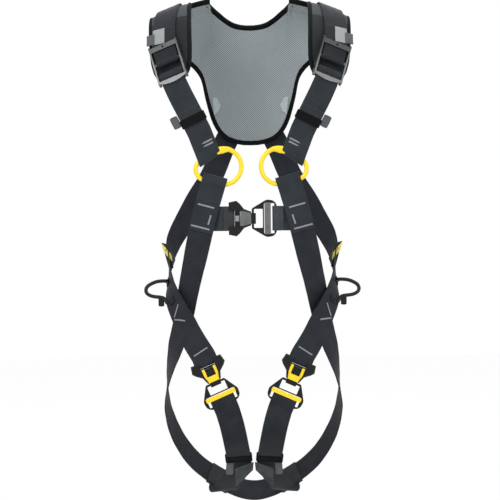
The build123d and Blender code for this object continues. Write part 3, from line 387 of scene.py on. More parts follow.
def on_face(line, along, across, lift):
    """Points and normals on a strap's face, from arrays of millimetres along and across it."""
    points, normals = line
    run = run_of(points) / MM
    ways = along_of(points)
    p = read_off(along, run, points)
    n = unit(read_off(along, run, normals))
    t = unit(read_off(along, run, ways))
    side = unit(np.cross(t, n))
    return p + np.asarray(across)[:, None] * side + lift * n, n


def running_stitch(line, start, end):
    """Row of single stitches on a strap's face, as one short path each, raised between its ends."""
    start, end = np.array(start, float), np.array(end, float)
    length = np.linalg.norm(end - start)
    count = max(int(length / (STITCH + STITCH_GAP)), 1)
    lift = FACE + STITCH_RISE * np.array([0.0, 1.0, 1.0, 0.0])
    paths = []
    for begin in np.linspace(0, length - STITCH, count):
        run = np.linspace(begin, begin + STITCH, 4)
        flat = start + (run / length)[:, None] * (end - start)
        points, normals = on_face(line, flat[:, 0], flat[:, 1], 0.0)
        paths.append((points + lift[:, None] * normals, normals))
    return paths


def thread_object(name, paths, radius, material, body=ROOT, height=None, ridge=0.0):
    """Many threads in one mesh: a tube along each path, its section radius times cosine and height times sine.

    Every other row is smaller by the share ridge. Without a height the section is round.
    """
    turn = np.linspace(0, 2 * math.pi, 5 if height is None else 10, endpoint=False)
    section = np.stack((radius * np.cos(turn), (height or radius) * np.sin(turn)), axis=1)
    vertices, faces, uv, base = [], [], [], 0
    for points, normals in paths:
        pinch = 1 - ridge * (np.arange(len(points)) % 2)
        grid = swept((points, normals), section, np.stack((pinch, pinch), axis=1))
        if signed_volume(grid) < 0:
            grid = grid[:, ::-1]
        rows, cols = grid.shape[:2]
        index = np.arange(rows * cols).reshape(rows, cols) + base
        right = np.roll(index, -1, axis=1)
        quads = np.stack((index[:-1], index[1:], right[1:], right[:-1]), axis=-1).reshape(-1, 4)
        run = run_of(points)
        i, j = np.meshgrid(np.arange(rows - 1), np.arange(cols), indexing="ij")
        corner_u = np.stack((run[i], run[i + 1], run[i + 1], run[i]), axis=-1)
        corner_v = np.stack((j, j, j + 1, j + 1), axis=-1) * radius * MM
        vertices.append(grid.reshape(-1, 3))
        faces += quads.tolist() + [index[0].tolist(), index[-1, ::-1].tolist()]
        uv.append(np.stack((corner_u, corner_v), axis=-1).reshape(-1, 2))
        uv.append(np.zeros((2 * cols, 2)))
        base += rows * cols
    obj = mesh_object(name, np.concatenate(vertices), faces, np.concatenate(uv))
    obj.data.materials.append(material)
    if body:
        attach(obj, body)
    return obj


# -------- finishes
class Finish:
    """One procedural material, put together node by node."""

    def __init__(self, name, colour, roughness=0.8, **sockets):
        self.material = bpy.data.materials.new(name)
        self.material.use_nodes = True
        self.material.diffuse_color = (*colour, 1.0)
        self.tree = self.material.node_tree
        self.shader = self.tree.nodes["Principled BSDF"]
        self.shader.inputs["Roughness"].default_value = roughness
        self.shader.inputs["Base Color"].default_value = (*colour, 1.0)
        for socket, value in sockets.items():
            self.shader.inputs[socket.replace("_", " ")].default_value = value
        self.colour = (*colour, 1.0)

    def node(self, kind, settings=None, inputs=None):
        """New node with its settings, and its inputs as values or sockets."""
        node = self.tree.nodes.new(kind)
        for key, value in (settings or {}).items():
            setattr(node, key, value)
        for key, value in (inputs or {}).items():
            if isinstance(value, bpy.types.NodeSocket):
                self.tree.links.new(value, node.inputs[key])
            else:
                node.inputs[key].default_value = value
        return node

    def math(self, operation, first, second=0.0):
        """Sum, product or the like of one or two values."""
        return self.node("ShaderNodeMath", {"operation": operation}, {0: first, 1: second}).outputs[0]

    def mixed(self, factor, first, second):
        """Colour between two: the first at nought and the second at one."""
        return self.node("ShaderNodeMix", {"data_type": "RGBA"}, {0: factor, 6: first, 7: second}).outputs[2]

    def spread(self, value, low, high, from_low=0.0, from_high=1.0):
        """Value carried from one range to another."""
        inputs = {"Value": value, "From Min": from_low, "From Max": from_high, "To Min": low, "To Max": high}
        return self.node("ShaderNodeMapRange", None, inputs).outputs[0]

    def coordinates(self, kind):
        """Coordinates of the piece itself, or of its UV map."""
        return self.node("ShaderNodeTexCoord").outputs[kind]

    def flat(self):
        """u and v of the piece's UV map."""
        parts = self.node("ShaderNodeSeparateXYZ", None, {0: self.coordinates("UV")})
        return parts.outputs[0], parts.outputs[1]

    def wave(self, value, length):
        """Sine of a value in metres, with its wavelength in millimetres."""
        return self.math("SINE", self.math("MULTIPLY", value, 2 * math.pi / (length * MM)))

    def noise(self, scale, detail=3.0, stretch=None):
        """Noise on the piece's own coordinates, in features per metre."""
        vector = self.coordinates("Object")
        if stretch:
            vector = self.node("ShaderNodeMapping", None, {"Vector": vector, "Scale": stretch}).outputs[0]
        inputs = {"Vector": vector, "Scale": scale, "Detail": detail, "Roughness": 0.6}
        return self.node("ShaderNodeTexNoise", None, inputs).outputs["Fac"]

    def surface(self, colour=None, roughness=None, height=None, depth=0.3, strength=0.6):
        """Link colour, roughness and a bump of a depth in millimetres."""
        if colour is not None:
            self.tree.links.new(colour, self.shader.inputs["Base Color"])
        if roughness is not None:
            self.tree.links.new(roughness, self.shader.inputs["Roughness"])
        if height is not None:
            inputs = {"Height": height, "Strength": strength, "Distance": depth * MM}
            bump = self.node("ShaderNodeBump", None, inputs)
            self.tree.links.new(bump.outputs[0], self.shader.inputs["Normal"])
        return self.material


def faded(colour, share):
    """Colour scaled towards black or beyond itself, with full alpha."""
    return (*(min(c * share, 1.0) for c in colour[:3]), 1.0)


def woven(name, colour, rib=1.5, pick=1.9, worn=1.5):
    """Webbing: ribs along its length, broken by picks that step from rib to rib, with painted shade in the low
    places between them, and dust and worn patches.

    Its height is the ribs' absolute sine across times the picks' sine along; rib and pick are their millimetres,
    and worn is how much paler the worn patches are.
    """
    finish = Finish(name, colour, 0.75, Sheen_Weight=0.03, Sheen_Roughness=0.5, Specular_IOR_Level=0.14)
    u, v = finish.flat()
    ribs = finish.math("MULTIPLY", v, math.pi / (rib * MM))
    rise = finish.math("ABSOLUTE", finish.math("SINE", ribs))
    step = finish.math("MULTIPLY", finish.math("FLOOR", finish.math("MULTIPLY", v, 1 / (rib * MM))), 0.5)
    picks = finish.math("ADD", finish.math("MULTIPLY", u, 1 / (pick * MM)), step)
    wave = finish.math("SINE", finish.math("MULTIPLY", picks, 2 * math.pi))
    height = finish.math("MULTIPLY", rise, finish.spread(wave, 0.35, 1.0, -1.0, 1.0))
    patches = finish.noise(28.0, 4.0)
    dust = finish.noise(420.0, 2.0)
    # painted shade: the colour sinks to about a third of itself where the weave is low
    base = finish.mixed(finish.spread(height, 0.25, 1.0), faded(colour, 0.35), faded(colour, 1.0))
    worn_tone = finish.mixed(finish.spread(patches, 0.0, 1.0, 0.35, 0.75), base, faded(colour, worn))
    toned = finish.mixed(0.35, worn_tone, finish.mixed(dust, faded(colour, 0.8), faded(colour, worn)))
    return finish.surface(toned, finish.spread(dust, 0.5, 0.75), height, 0.35, 0.7)


def spacer_mesh(name, colour, pitch, hole=0.12):
    """Padding mesh: small round holes on a slanting lattice, in a knit with fine crosswise rows.

    The lattice is the sine of u + v times the sine of u - v, and hole is how dark its holes are.
    """
    finish = Finish(name, colour, 0.8, Sheen_Weight=0.06, Sheen_Roughness=0.4, Specular_IOR_Level=0.15)
    u, v = finish.flat()
    turn = 2 * math.pi / (pitch * MM)
    first = finish.math("SINE", finish.math("MULTIPLY", finish.math("ADD", u, v), turn * 0.5))
    second = finish.math("SINE", finish.math("MULTIPLY", finish.math("SUBTRACT", u, v), turn * 0.5))
    lattice = finish.math("MULTIPLY", first, second)
    holes = finish.spread(finish.math("ABSOLUTE", lattice), 0.0, 1.0, 0.28, 0.62)
    rows = finish.wave(v, 0.9)
    knit = finish.math("ADD", finish.spread(rows, 0.0, 0.12, -1.0, 1.0), finish.spread(holes, 1.0, 0.0))
    cloud = finish.noise(9.0, 3.0)
    fine = finish.noise(300.0, 2.0)
    base = finish.mixed(holes, faded(colour, 1.62), faded(colour, hole))
    toned = finish.mixed(finish.spread(cloud, 0.0, 0.55, 0.3, 0.8), base, faded(colour, 0.72))
    toned = finish.mixed(0.25, toned, finish.mixed(fine, faded(colour, 0.8), faded(colour, 1.3)))
    return finish.surface(toned, finish.spread(fine, 0.7, 0.9), knit, 0.5, 0.6)


def tape(name, colour, row=1.3):
    """Binding tape: close crosswise rows, with soft patches that have gone a little grey."""
    finish = Finish(name, colour, 0.8, Specular_IOR_Level=0.08)
    rows = finish.wave(finish.flat()[0], row)
    fine = finish.noise(500.0, 2.0)
    soft = finish.noise(22.0, 3.0)
    toned = finish.mixed(finish.spread(soft, 0.0, 1.0, 0.4, 0.8), faded(colour, 0.8), faded(colour, 1.7))
    toned = finish.mixed(finish.spread(rows, 0.0, 0.3, -1.0, 1.0), toned, faded(colour, 0.3))
    return finish.surface(toned, finish.spread(fine, 0.6, 0.85), finish.math("ADD", rows, fine), 0.2, 0.5)


def coated(name, colour, roughness, coat=0.0, scuff=2.0, grain=260.0, gloss=0.5):
    """Lacquered or moulded hard surface: faint orange peel, cloudy gloss and pale scuffs."""
    finish = Finish(name, colour, roughness[0], Coat_Weight=coat, Coat_Roughness=0.15, Specular_IOR_Level=gloss)
    peel = finish.noise(grain, 3.0)
    cloud = finish.noise(35.0, 4.0)
    scratches = finish.noise(180.0, 4.0, (1.0, 1.0, 9.0))
    marks = finish.spread(scratches, 0.0, 0.55, 0.66, 0.80)
    toned = finish.mixed(marks, finish.colour, faded(colour, scuff))
    toned = finish.mixed(finish.spread(cloud, 0.0, 0.25), toned, faded(colour, 0.8))
    return finish.surface(toned, finish.spread(cloud, roughness[0], roughness[1]), peel, 0.06, 0.35)


def brushed(name, colour, roughness=(0.28, 0.5), metallic=0.85, painted_shade_top=None):
    """Bare metal: fine lines from polishing along one way, with darker handling marks.

    The heights given for the shaded top, in metres, are where the metal goes from its own tone to a darker one
    above: painted shade on the upper part.
    """
    finish = Finish(name, colour, roughness[0], Metallic=metallic)
    lines = finish.noise(900.0, 3.0, (1.0, 1.0, 0.06))
    marks = finish.noise(60.0, 4.0)
    toned = finish.mixed(finish.spread(lines, 0.0, 0.35), finish.colour, faded(colour, 0.7))
    toned = finish.mixed(finish.spread(marks, 0.0, 0.5, 0.5, 0.8), toned, faded(colour, 0.55))
    if painted_shade_top:
        # painted shade: the metal darkens towards the top between the two heights
        height = finish.node("ShaderNodeSeparateXYZ", None, {0: finish.coordinates("Object")}).outputs[2]
        toned = finish.mixed(finish.spread(height, 0.0, 0.78, *painted_shade_top), toned, faded(colour, 0.22))
    return finish.surface(toned, finish.spread(lines, roughness[0], roughness[1]), lines, 0.04, 0.4)


def twisted_thread(name, colour):
    """Sewing thread: twist seen as slanting ridges along it."""
    finish = Finish(name, colour, 0.55, Sheen_Weight=0.3)
    along, around = (finish.math("MULTIPLY", way, turns) for way, turns in zip(finish.flat(), (4000.0, 2600.0)))
    ridges = finish.math("SINE", finish.math("ADD", along, around))
    fine = finish.noise(700.0, 2.0)
    toned = finish.mixed(finish.spread(ridges, 0.0, 0.4, -1.0, 1.0), finish.colour, faded(colour, 0.6))
    toned = finish.mixed(finish.spread(fine, 0.0, 0.4), toned, faded(colour, 1.3))
    return finish.surface(toned, finish.spread(fine, 0.45, 0.65), ridges, 0.1, 0.5)


def printed_film(name, colour):
    """Blank label film over webbing: satin, with the weave's lines showing through."""
    finish = Finish(name, colour, 0.45, Coat_Weight=0.15)
    lines = finish.wave(finish.flat()[1], 1.6)
    cloud = finish.noise(40.0, 3.0)
    toned = finish.mixed(finish.spread(lines, 0.0, 0.3, -1.0, 1.0), finish.colour, faded(colour, 0.7))
    toned = finish.mixed(finish.spread(cloud, 0.0, 0.4, 0.4, 0.8), toned, faded(colour, 0.75))
    return finish.surface(toned, finish.spread(cloud, 0.35, 0.55), lines, 0.12, 0.4)


# -------- routes (millimetres, wearer's left side)
# each entry is a point of the strap's middle line and the way its face looks there
UPPER_FRONT = [
    ((128.5, -124.6, -178.0), (0.18, -0.98, 0.10)),
    ((117.0, -125.0, -201.0), (0.05, -1.0, 0.0)),
    ((103.5, -125.0, -228.0), (0.05, -1.0, 0.0)),
    ((81.5, -125.0, -272.0), (0.05, -1.0, 0.0)),
]
SEAT = [
    ((74.0, -124.0, -356.0), (0.0, -1.0, 0.0)),
    ((80.0, -123.5, -378.0), (0.03, -1.0, 0.0)),
    ((86.5, -123.5, -402.0), (0.05, -1.0, 0.0)),
    ((94.0, -121.0, -432.0), (0.10, -1.0, 0.03)),
    ((103.0, -109.0, -470.0), (0.22, -0.97, 0.08)),
    ((111.0, -91.0, -503.0), (0.33, -0.93, 0.10)),
    ((119.5, -69.0, -540.0), (0.45, -0.89, 0.10)),
    ((131.0, -47.0, -594.0), (0.57, -0.82, 0.08)),
    ((145.0, -28.0, -640.0), (0.75, -0.65, 0.05)),
    ((158.0, -10.0, -687.0), (0.96, -0.28, 0.0)),
    ((164.0, 4.0, -722.0), (1.0, 0.0, 0.0)),
    ((165.0, 17.0, -752.0), (0.97, 0.20, -0.10)),
    ((158.0, 31.0, -790.0), (0.88, 0.38, -0.28)),
    ((141.5, 44.0, -830.0), (0.72, 0.52, -0.46)),
    ((113.0, 57.0, -870.0), (0.48, 0.62, -0.62)),
    ((78.0, 67.0, -899.0), (0.26, 0.68, -0.69)),
    ((42.0, 74.5, -920.0), (0.12, 0.72, -0.68)),
    ((0.0, 78.0, -931.0), (0.0, 0.75, -0.66)),
]
BACK = [
    ((18.0, 117.5, -198.0), (0.0, 1.0, 0.0)),
    ((52.0, 119.5, -256.0), (0.05, 1.0, 0.0)),
    ((78.0, 114.0, -318.0), (0.18, 0.98, 0.0)),
    ((107.7, 99.0, -366.0), (0.40, 0.92, 0.0)),
    ((129.6, 82.0, -405.0), (0.58, 0.81, 0.0)),
    ((150.5, 57.0, -444.0), (0.80, 0.60, 0.0)),
    ((159.5, 30.0, -478.0), (0.96, 0.28, 0.0)),
]
HIP = [
    ((154.6, 40.0, -466.0), (0.93, 0.36, 0.0)),
    ((157.0, 26.5, -481.0), (0.98, 0.20, 0.0)),
    ((157.6, 0.0, -502.0), (1.0, -0.08, 0.0)),
    ((156.5, -28.0, -523.0), (0.93, -0.36, 0.0)),
    ((153.0, -47.0, -541.0), (0.82, -0.57, 0.0)),
    ((146.5, -59.0, -558.0), (0.72, -0.69, 0.0)),
    ((128.5, -81.0, -593.0), (0.52, -0.85, 0.04)),
    ((112.5, -97.0, -624.0), (0.32, -0.94, 0.06)),
    ((100.0, -108.0, -644.0), (0.16, -0.985, 0.06)),
]
LEG = [
    ((42.0, -119.5, -776.0), (0.04, -0.98, -0.12)),
    ((35.0, -107.0, -808.0), (-0.01, -0.88, -0.46)),
    ((30.0, -82.0, -837.0), (-0.04, -0.68, -0.73)),
    ((28.0, -48.0, -862.0), (-0.03, -0.55, -0.83)),
    ((35.0, -18.0, -886.0), (0.02, -0.45, -0.89)),
    ((49.0, 10.0, -910.0), (0.08, -0.30, -0.95)),
    ((58.0, 31.0, -923.0), (0.14, 0.10, -0.98)),
    ((67.1, 47.1, -926.0), (0.40, 0.690, -0.60)),
    ((65.5, 53.5, -921.0), (0.40, 0.690, -0.60)),
]
SHOULDER_PAD = [
    ((148.0, -0.6, -11.4), (0.36, 0.0, 0.93)),
    ((148.5, -30.0, -16.0), (0.35, -0.34, 0.87)),
    ((148.5, -61.0, -36.0), (0.34, -0.68, 0.64)),
    ((147.5, -83.0, -67.0), (0.34, -0.86, 0.37)),
    ((145.5, -96.0, -105.0), (0.34, -0.92, 0.22)),
    ((142.5, -105.0, -148.0), (0.34, -0.93, 0.18)),
]
OVER_SHOULDER = [
    ((158.5, -101.0, -80.0), (0.34, -0.88, 0.33)),
    ((159.0, -86.5, -58.0), (0.34, -0.80, 0.48)),
    ((157.0, -62.0, -28.0), (0.34, -0.62, 0.70)),
    ((153.0, -30.0, -9.0), (0.36, -0.32, 0.88)),
    ((150.35, 8.0, -2.0), (0.36, 0.03, 0.93)),
    ((143.6, 44.8, -7.1), (0.28, 0.42, 0.86)),
    ((125.4, 77.6, -33.0), (0.18, 0.80, 0.56)),
    ((92.2, 99.3, -76.4), (0.10, 0.96, 0.28)),
    ((52.0, 110.4, -124.0), (0.04, 0.99, 0.12)),
    ((20.0, 115.0, -158.0), (0.0, 1.0, 0.04)),
]
CHEST_BEHIND = [
    ((59.0, -121.0, -406.0), (0.2, -0.98, 0.0)),
    ((66.0, -119.0, -406.0), (0.12, -0.99, 0.0)),
    ((78.0, -118.4, -406.0), (0.04, -1.0, 0.0)),
    ((99.0, -117.8, -406.0), (0.03, -1.0, 0.0)),
]

# the panel's neck and side, as x and z of its left half
NECK_OUTLINE = [
    (0.0, -26.5),
    (18.0, -25.5),
    (36.0, -20.0),
    (51.0, -10.5),
    (63.0, -2.0),
    (74.0, 5.5),
    (86.0, 13.0),
    (118.0, 22.0),
]
SIDE_OUTLINE = [
    (190.0, -20.0),
    (174.0, -52.0),
    (148.0, -80.0),
    (118.0, -100.0),
    (97.0, -124.0),
    (88.0, -159.0),
    (81.0, -188.0),
    (70.0, -219.0),
    (52.0, -242.0),
    (28.0, -253.0),
    (0.0, -256.0),
]

# bars that webbing is folded round: x, z and radius on the buckle's plane
STRAP_BAR = (-38.0, 2.0, 2.4)  # latch body's strap bar
END_BAR = (43.5, 1.8, 2.84)  # frame's end bar
ADJUSTER_BAR = (-2.0, 0.6, 3.2)  # shoulder adjuster's fixed bar
SLIDER_BAR = (22.0, 0.6, 3.4)  # shoulder adjuster's sliding bar

# the sternal ring: its middle's x and z, and its large arc's centre beside it and radius
RING_PLANE_Y = -124.0
RING_CENTRE = (58.0, -311.0)
RING_CIRCLE_X = -7.0
RING_LARGE_RADIUS = 33.0


def at_point(plane, x, y, z, facing):
    """Entry of a route on a buckle's plane."""
    return tuple(plane.at(x, y, z)), facing


def mirrored_route(route):
    """The same route on the wearer's right side."""
    return [((-x, y, z), (-a, b, c)) for (x, y, z), (a, b, c) in route]


def raised_end(route, heights):
    """Route whose last points are lifted off the body, one height for each."""
    kept, lifted = route[: -len(heights)], route[-len(heights) :]
    moved = [(tuple(np.array(p) + h * unit(f)), f) for (p, f), h in zip(lifted, heights)]
    return kept + moved


def reversed_line(line):
    """Line run the other way."""
    return line[0][::-1], line[1][::-1]


def distance_where(line, axis, value):
    """Millimetres along a line to the place where a coordinate comes nearest to a value."""
    points, _ = line
    return run_of(points)[np.argmin(np.abs(points[:, axis] - value))] / MM


# -------- back panel
PANEL_TIP_X = 185.6
PANEL_THICKNESS = 7.0
PANEL_CROWN = 4.6
PANEL_BORDER_SHARE = 0.72  # thickness left at the border
PANEL_PINNED_SHARE = 0.28  # crown share below which the cloth is held
CROWN_REACH = 32.0
BINDING_THICKNESS = PANEL_THICKNESS + 3.4
NECK_HALF_WIDTH = 77.5
SEAM_ENDS = (75.0, 184.0)  # distances from the middle
SIDE_TAPE = (-3.0, 9.4)  # shift across the border's line, and width
NECK_TAPE = (-4.6, 10.2)
SEAM_WIDTH = 8.4
# pale mesh patches low on the panel: distance from the middle and height at their four corners
PATCH_CORNERS = [(-74.5, -162.8), (-54.5, -165.4), (-61.0, -190.0), (-71.0, -198.0)]
PATCH_LIFT = 3.4


def panel_side_view(x):
    """The panel's middle line at one distance from the middle: a spline from the shoulder line down the back.

    Its peak sinks, and its sides come forward, with the square of that distance.
    """
    peak = 17.0 - 0.00128 * x * x
    wrap = 0.0008 * x * x
    corners = [
        (x, 0.0, peak),
        (x, 40.0, peak - 6.0),
        (x, 74.0 - wrap / 2, peak - 34.0),
        (x, 94.0 - wrap, -68.0),
        (x, 104.0 - wrap, -150.0),
        (x, 110.0 - wrap, -215.0),
        (x, 112.0 - wrap, -275.0),
    ]
    return smooth_curve(corners, 1.0)[0]


def outline_curve(outline):
    """Rounded outline through its points, as x and z arrays with x rising."""
    curve = smooth_curve([(x, z, 0.0) for x, z in outline], 1.0)[0]
    order = np.argsort(curve[:, 0])
    return curve[order, 0], curve[order, 1]


def panel_grid(columns, rows, inset):
    """Middle surface of the back panel, and its flat coordinates.

    Columns stand closer towards the sides, and each is cut inset millimetres inside the neck and side outlines.
    """
    neck_x, neck_z = outline_curve(NECK_OUTLINE)
    side_x, side_z = outline_curve(SIDE_OUTLINE)
    share = np.linspace(-1, 1, columns)
    widths = PANEL_TIP_X * np.sign(share) * (1 - (1 - np.abs(share)) ** 1.25)
    grid = np.empty((rows, columns, 3))
    flat = np.empty((rows, columns, 2))
    for j, x in enumerate(widths):
        line = panel_side_view(x)
        run = run_of(line) / MM
        falling = line[:, 2]
        neck = np.interp(abs(x), neck_x, neck_z)
        top = 0.0 if neck > falling[0] else run[np.argmax(falling < neck)]
        foot = run[np.argmax(falling < np.interp(abs(x), side_x, side_z))]
        if foot <= top:
            foot = top + 1.0
        places = np.linspace(top + inset, foot - inset, rows)
        grid[:, j] = read_off(places, run, line)
        flat[:, j, 0], flat[:, j, 1] = places, x
    return grid, flat


def crown_share(grid):
    """Zero at a grid's border and one over its middle, from the distance to the nearest border."""
    steps = [np.linalg.norm(np.diff(grid, axis=axis), axis=2) for axis in (0, 1)]
    down = np.pad(np.cumsum(steps[0], axis=0), ((1, 0), (0, 0)))
    over = np.pad(np.cumsum(steps[1], axis=1), ((0, 0), (1, 0)))
    near = np.minimum(np.minimum(down, down[-1] - down), np.minimum(over, over[:, -1:] - over))
    share = np.clip(near / CROWN_REACH, 0, 1)
    return share * (2 - share)


PUFF_FRAMES = 20


def puffed(obj, pinned, pressure, cap):
    """Blow a closed cushion up a little with cloth, held at its pinned points, and keep the shape it takes.

    No point moves further than cap millimetres.
    """
    mesh = obj.data
    rest = np.empty(len(mesh.vertices) * 3)
    mesh.vertices.foreach_get("co", rest)
    rest = rest.reshape(-1, 3)
    group = obj.vertex_groups.new(name="pinned")
    group.add(np.flatnonzero(pinned).tolist(), 1.0, "REPLACE")
    cloth = obj.modifiers.new("puff", "CLOTH")
    settings = cloth.settings
    settings.vertex_group_mass = "pinned"
    settings.use_pressure = True
    settings.uniform_pressure_force = pressure
    settings.effector_weights.gravity = 0.0
    settings.quality = 6
    settings.mass = 0.3
    settings.tension_stiffness = 20.0
    settings.compression_stiffness = 12.0
    settings.shear_stiffness = 8.0
    settings.bending_stiffness = 1.0
    cloth.collision_settings.use_collision = False
    cloth.point_cache.frame_start = 1
    cloth.point_cache.frame_end = PUFF_FRAMES
    scene = bpy.context.scene
    for step in range(1, PUFF_FRAMES + 1):
        scene.frame_set(step)
    found = obj.evaluated_get(bpy.context.evaluated_depsgraph_get()).to_mesh()
    blown = np.empty(len(mesh.vertices) * 3)
    found.vertices.foreach_get("co", blown)
    blown = blown.reshape(-1, 3)
    obj.modifiers.remove(cloth)
    obj.vertex_groups.remove(group)
    move = blown - rest
    length = np.maximum(np.linalg.norm(move, axis=1, keepdims=True), 1e-9)
    move *= np.minimum(1.0, cap * MM / length)
    mesh.vertices.foreach_set("co", (rest + move).ravel())
    mesh.update()
    scene.frame_set(1)


def border_tape(name, path, normals, width, depth, material):
    """Binding folded over a cushion's border: an oval section carried along the border's line."""
    section = oval_section(width, depth, 24, 2.6)
    line = resampled((path, normals), 3.0)
    obj = tube_object(name, swept(line, section), run_of(line[0]), section_lengths(section))
    obj.data.materials.append(material)
    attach(obj, ROOT)
    return obj


def build_back_panel(mesh_material, shell_material, patch_material):
    """Crowned closed panel: mesh towards the wearer, dark shell outside, and two pale patches on the mesh."""
    grid, flat = panel_grid(95, 61, 3.0)
    share = crown_share(grid)
    depth = PANEL_THICKNESS * PANEL_BORDER_SHARE + PANEL_CROWN * share
    panel = sheet_object("back_panel", grid, depth, [shell_material, mesh_material], back_material=1,
                         flat=flat)
    puffed(panel, np.tile((share < PANEL_PINNED_SHARE).ravel(), 2), 2.5, 5.0)
    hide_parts("back_pad")
    for side, label in SIDES:
        inner = on_panel(side, PATCH_CORNERS, -(PANEL_THICKNESS + PANEL_CROWN) / 2 - PATCH_LIFT)
        sheet_object(f"mesh_patch_{label}", inner, 0.5, [patch_material])


def patch_grid(corners, rows, columns):
    """Grid spread evenly between four corners: the weighted mean of each side's ends, row by row.

    The first row runs from the first to the second corner, and the last one from the fourth to the third.
    """
    first, second, third, fourth = (np.array(corner) for corner in corners)
    u = np.linspace(0, 1, columns)[None, :, None]
    v = np.linspace(0, 1, rows)[:, None, None]
    return (1 - v) * ((1 - u) * first + u * second) + v * ((1 - u) * fourth + u * third)


def panel_places(x_values, z_values):
    """Points of the panel's middle surface at places given by x and z, and its outward normals there."""
    points, normals = [], []
    for x, z in zip(x_values, z_values):
        line = panel_side_view(x)
        place = min(max(int(np.argmax(line[:, 2] < z)), 1), len(line) - 2)
        way = unit(line[place + 1] - line[place - 1])
        points.append(line[place])
        normals.append((0.0, -way[2], way[1]))
    return np.array(points), np.array(normals)


def on_panel(side, corners, lift):
    """Grid over a four-cornered patch of the panel, given by x and z, lifted off its middle surface."""
    flat = patch_grid(corners, 13, 9)
    points, normals = panel_places(flat[..., 0].ravel(), flat[..., 1].ravel())
    grid = (points + lift * normals).reshape(13, 9, 3)
    grid[..., 0] *= -side
    return grid


def panel_border(x_values, outline, shift):
    """Line on the panel's middle surface under an outline, moved across itself, and its outward normals."""
    outline_x, outline_z = outline_curve(outline)
    points, normals = panel_places(x_values, np.interp(np.abs(x_values), outline_x, outline_z))
    return points + shift * unit(np.cross(along_of(points), normals)), normals


def build_panel_bindings(material):
    """Side binding round the panel's foot, neck binding, and the seams over the shoulders."""
    curve = smooth_curve([(x, z, 0.0) for x, z in SIDE_OUTLINE], 3.0)[0]
    half_x = curve[(curve[:, 0] < PANEL_TIP_X - 1), 0]
    xs = np.concatenate((half_x, -half_x[::-1][1:]))
    points, normals = panel_border(xs, SIDE_OUTLINE, SIDE_TAPE[0])
    side = border_tape("panel_binding", points, normals, SIDE_TAPE[1], BINDING_THICKNESS, material)
    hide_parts("back_pad_binding")
    xs = np.linspace(-NECK_HALF_WIDTH, NECK_HALF_WIDTH, 80)
    points, normals = panel_border(xs, NECK_OUTLINE, NECK_TAPE[0])
    neck = border_tape("neck_edge_binding", points, normals, NECK_TAPE[1], BINDING_THICKNESS, material)
    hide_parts("neck_binding")
    for side_sign, label in SIDES:
        xs = side_sign * np.linspace(*SEAM_ENDS, 44)
        seam = np.array([panel_side_view(x)[1] for x in xs])
        up = np.tile((0.0, 0.0, 1.0), (len(xs), 1))
        border_tape(f"shoulder_seam_tape_{label}", seam, up, SEAM_WIDTH, BINDING_THICKNESS, material)


# -------- shoulder pads
PAD_WIDTH = 84.0
PAD_DEPTH = 12.0
PAD_RIM_DEPTH = 5.2
PAD_MESH_SHARE = 0.36  # the pad's upper end, which is mesh
PAD_EDGE_INSET = 3.6
PAD_TAPER_SHARES = (0.0, 0.5, 0.68, 0.82, 0.92, 0.975, 1.0)
PAD_TAPER_WIDTHS = (1.0, 1.0, 0.99, 0.95, 0.85, 0.70, 0.52)


def build_shoulder_pad(side, label, front, top, lining, binding):
    """Crowned closed pad over the shoulder with a rolled border; its upper end is mesh.

    Its depth rises from the border as one less the cube of the place across it, and sinks towards the foot.
    """
    points, normals = mirrored_line(route_line(SHOULDER_PAD, step=3.0), side)
    run = run_of(points) / MM
    share = run / run[-1]
    width = PAD_WIDTH * np.interp(share, PAD_TAPER_SHARES, PAD_TAPER_WIDTHS)
    columns = np.linspace(-1, 1, 25)
    across = unit(np.cross(along_of(points), normals))
    grid = points[:, None] + (width[:, None] / 2 - 4.0)[..., None] * columns[None, :, None] * across[:, None]
    crown = 1 - np.abs(columns) ** 3
    ends = np.clip((run[-1] - run) / 24.0, 0, 1) ** 0.5
    depth = PAD_RIM_DEPTH + (PAD_DEPTH - PAD_RIM_DEPTH) * crown[None] * (0.35 + 0.65 * ends[:, None])
    flat = np.stack(np.broadcast_arrays(run[:, None], width[:, None] / 2 * columns[None]), axis=-1)
    pad = sheet_object(f"shoulder_cushion_{label}", grid, depth, [front, lining, top],
                       back_material=1, flat=flat)
    rows, cols = grid.shape[:2]
    kinds = np.empty(len(pad.data.polygons), np.int32)
    pad.data.polygons.foreach_get("material_index", kinds)
    over = np.repeat(share[:-1] < PAD_MESH_SHARE, cols - 1)
    kinds[: len(over)][over] = 2
    pad.data.polygons.foreach_set("material_index", kinds)
    rim = np.zeros((rows, cols), bool)
    rim[:, :2] = rim[:, -2:] = rim[:2] = rim[-2:] = True
    puffed(pad, np.tile(rim.ravel(), 2), 2.0, 3.0)
    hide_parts(f"shoulder_pad_{label}")
    half = width / 2 - PAD_EDGE_INSET
    edge = points[:, None] + half[:, None, None] * np.array([-1, 1])[None, :, None] * across[:, None]
    over = np.linspace(-1, 1, 14)[1:-1, None]
    foot = points[-1] + half[-1] * over * across[-1] + 4.0 * (1 - over**2) * along_of(points)[-1]
    path = np.concatenate((edge[:, 0], foot, edge[::-1, 1]))
    ways = np.concatenate((normals, np.tile(normals[-1], (len(foot), 1)), normals[::-1]))
    border_tape(f"shoulder_binding_{label}", path, ways, 7.6, 8.6, binding)


# -------- folds
def smooth_step(value):
    """Zero to one with level ends: three times the value's square less twice its cube."""
    value = np.clip(value, 0, 1)
    return value * value * (3 - 2 * value)


BAR_CLEARANCE = 0.25
FOLD_RISE = 4.7  # half the height of a fold round the sternal ring


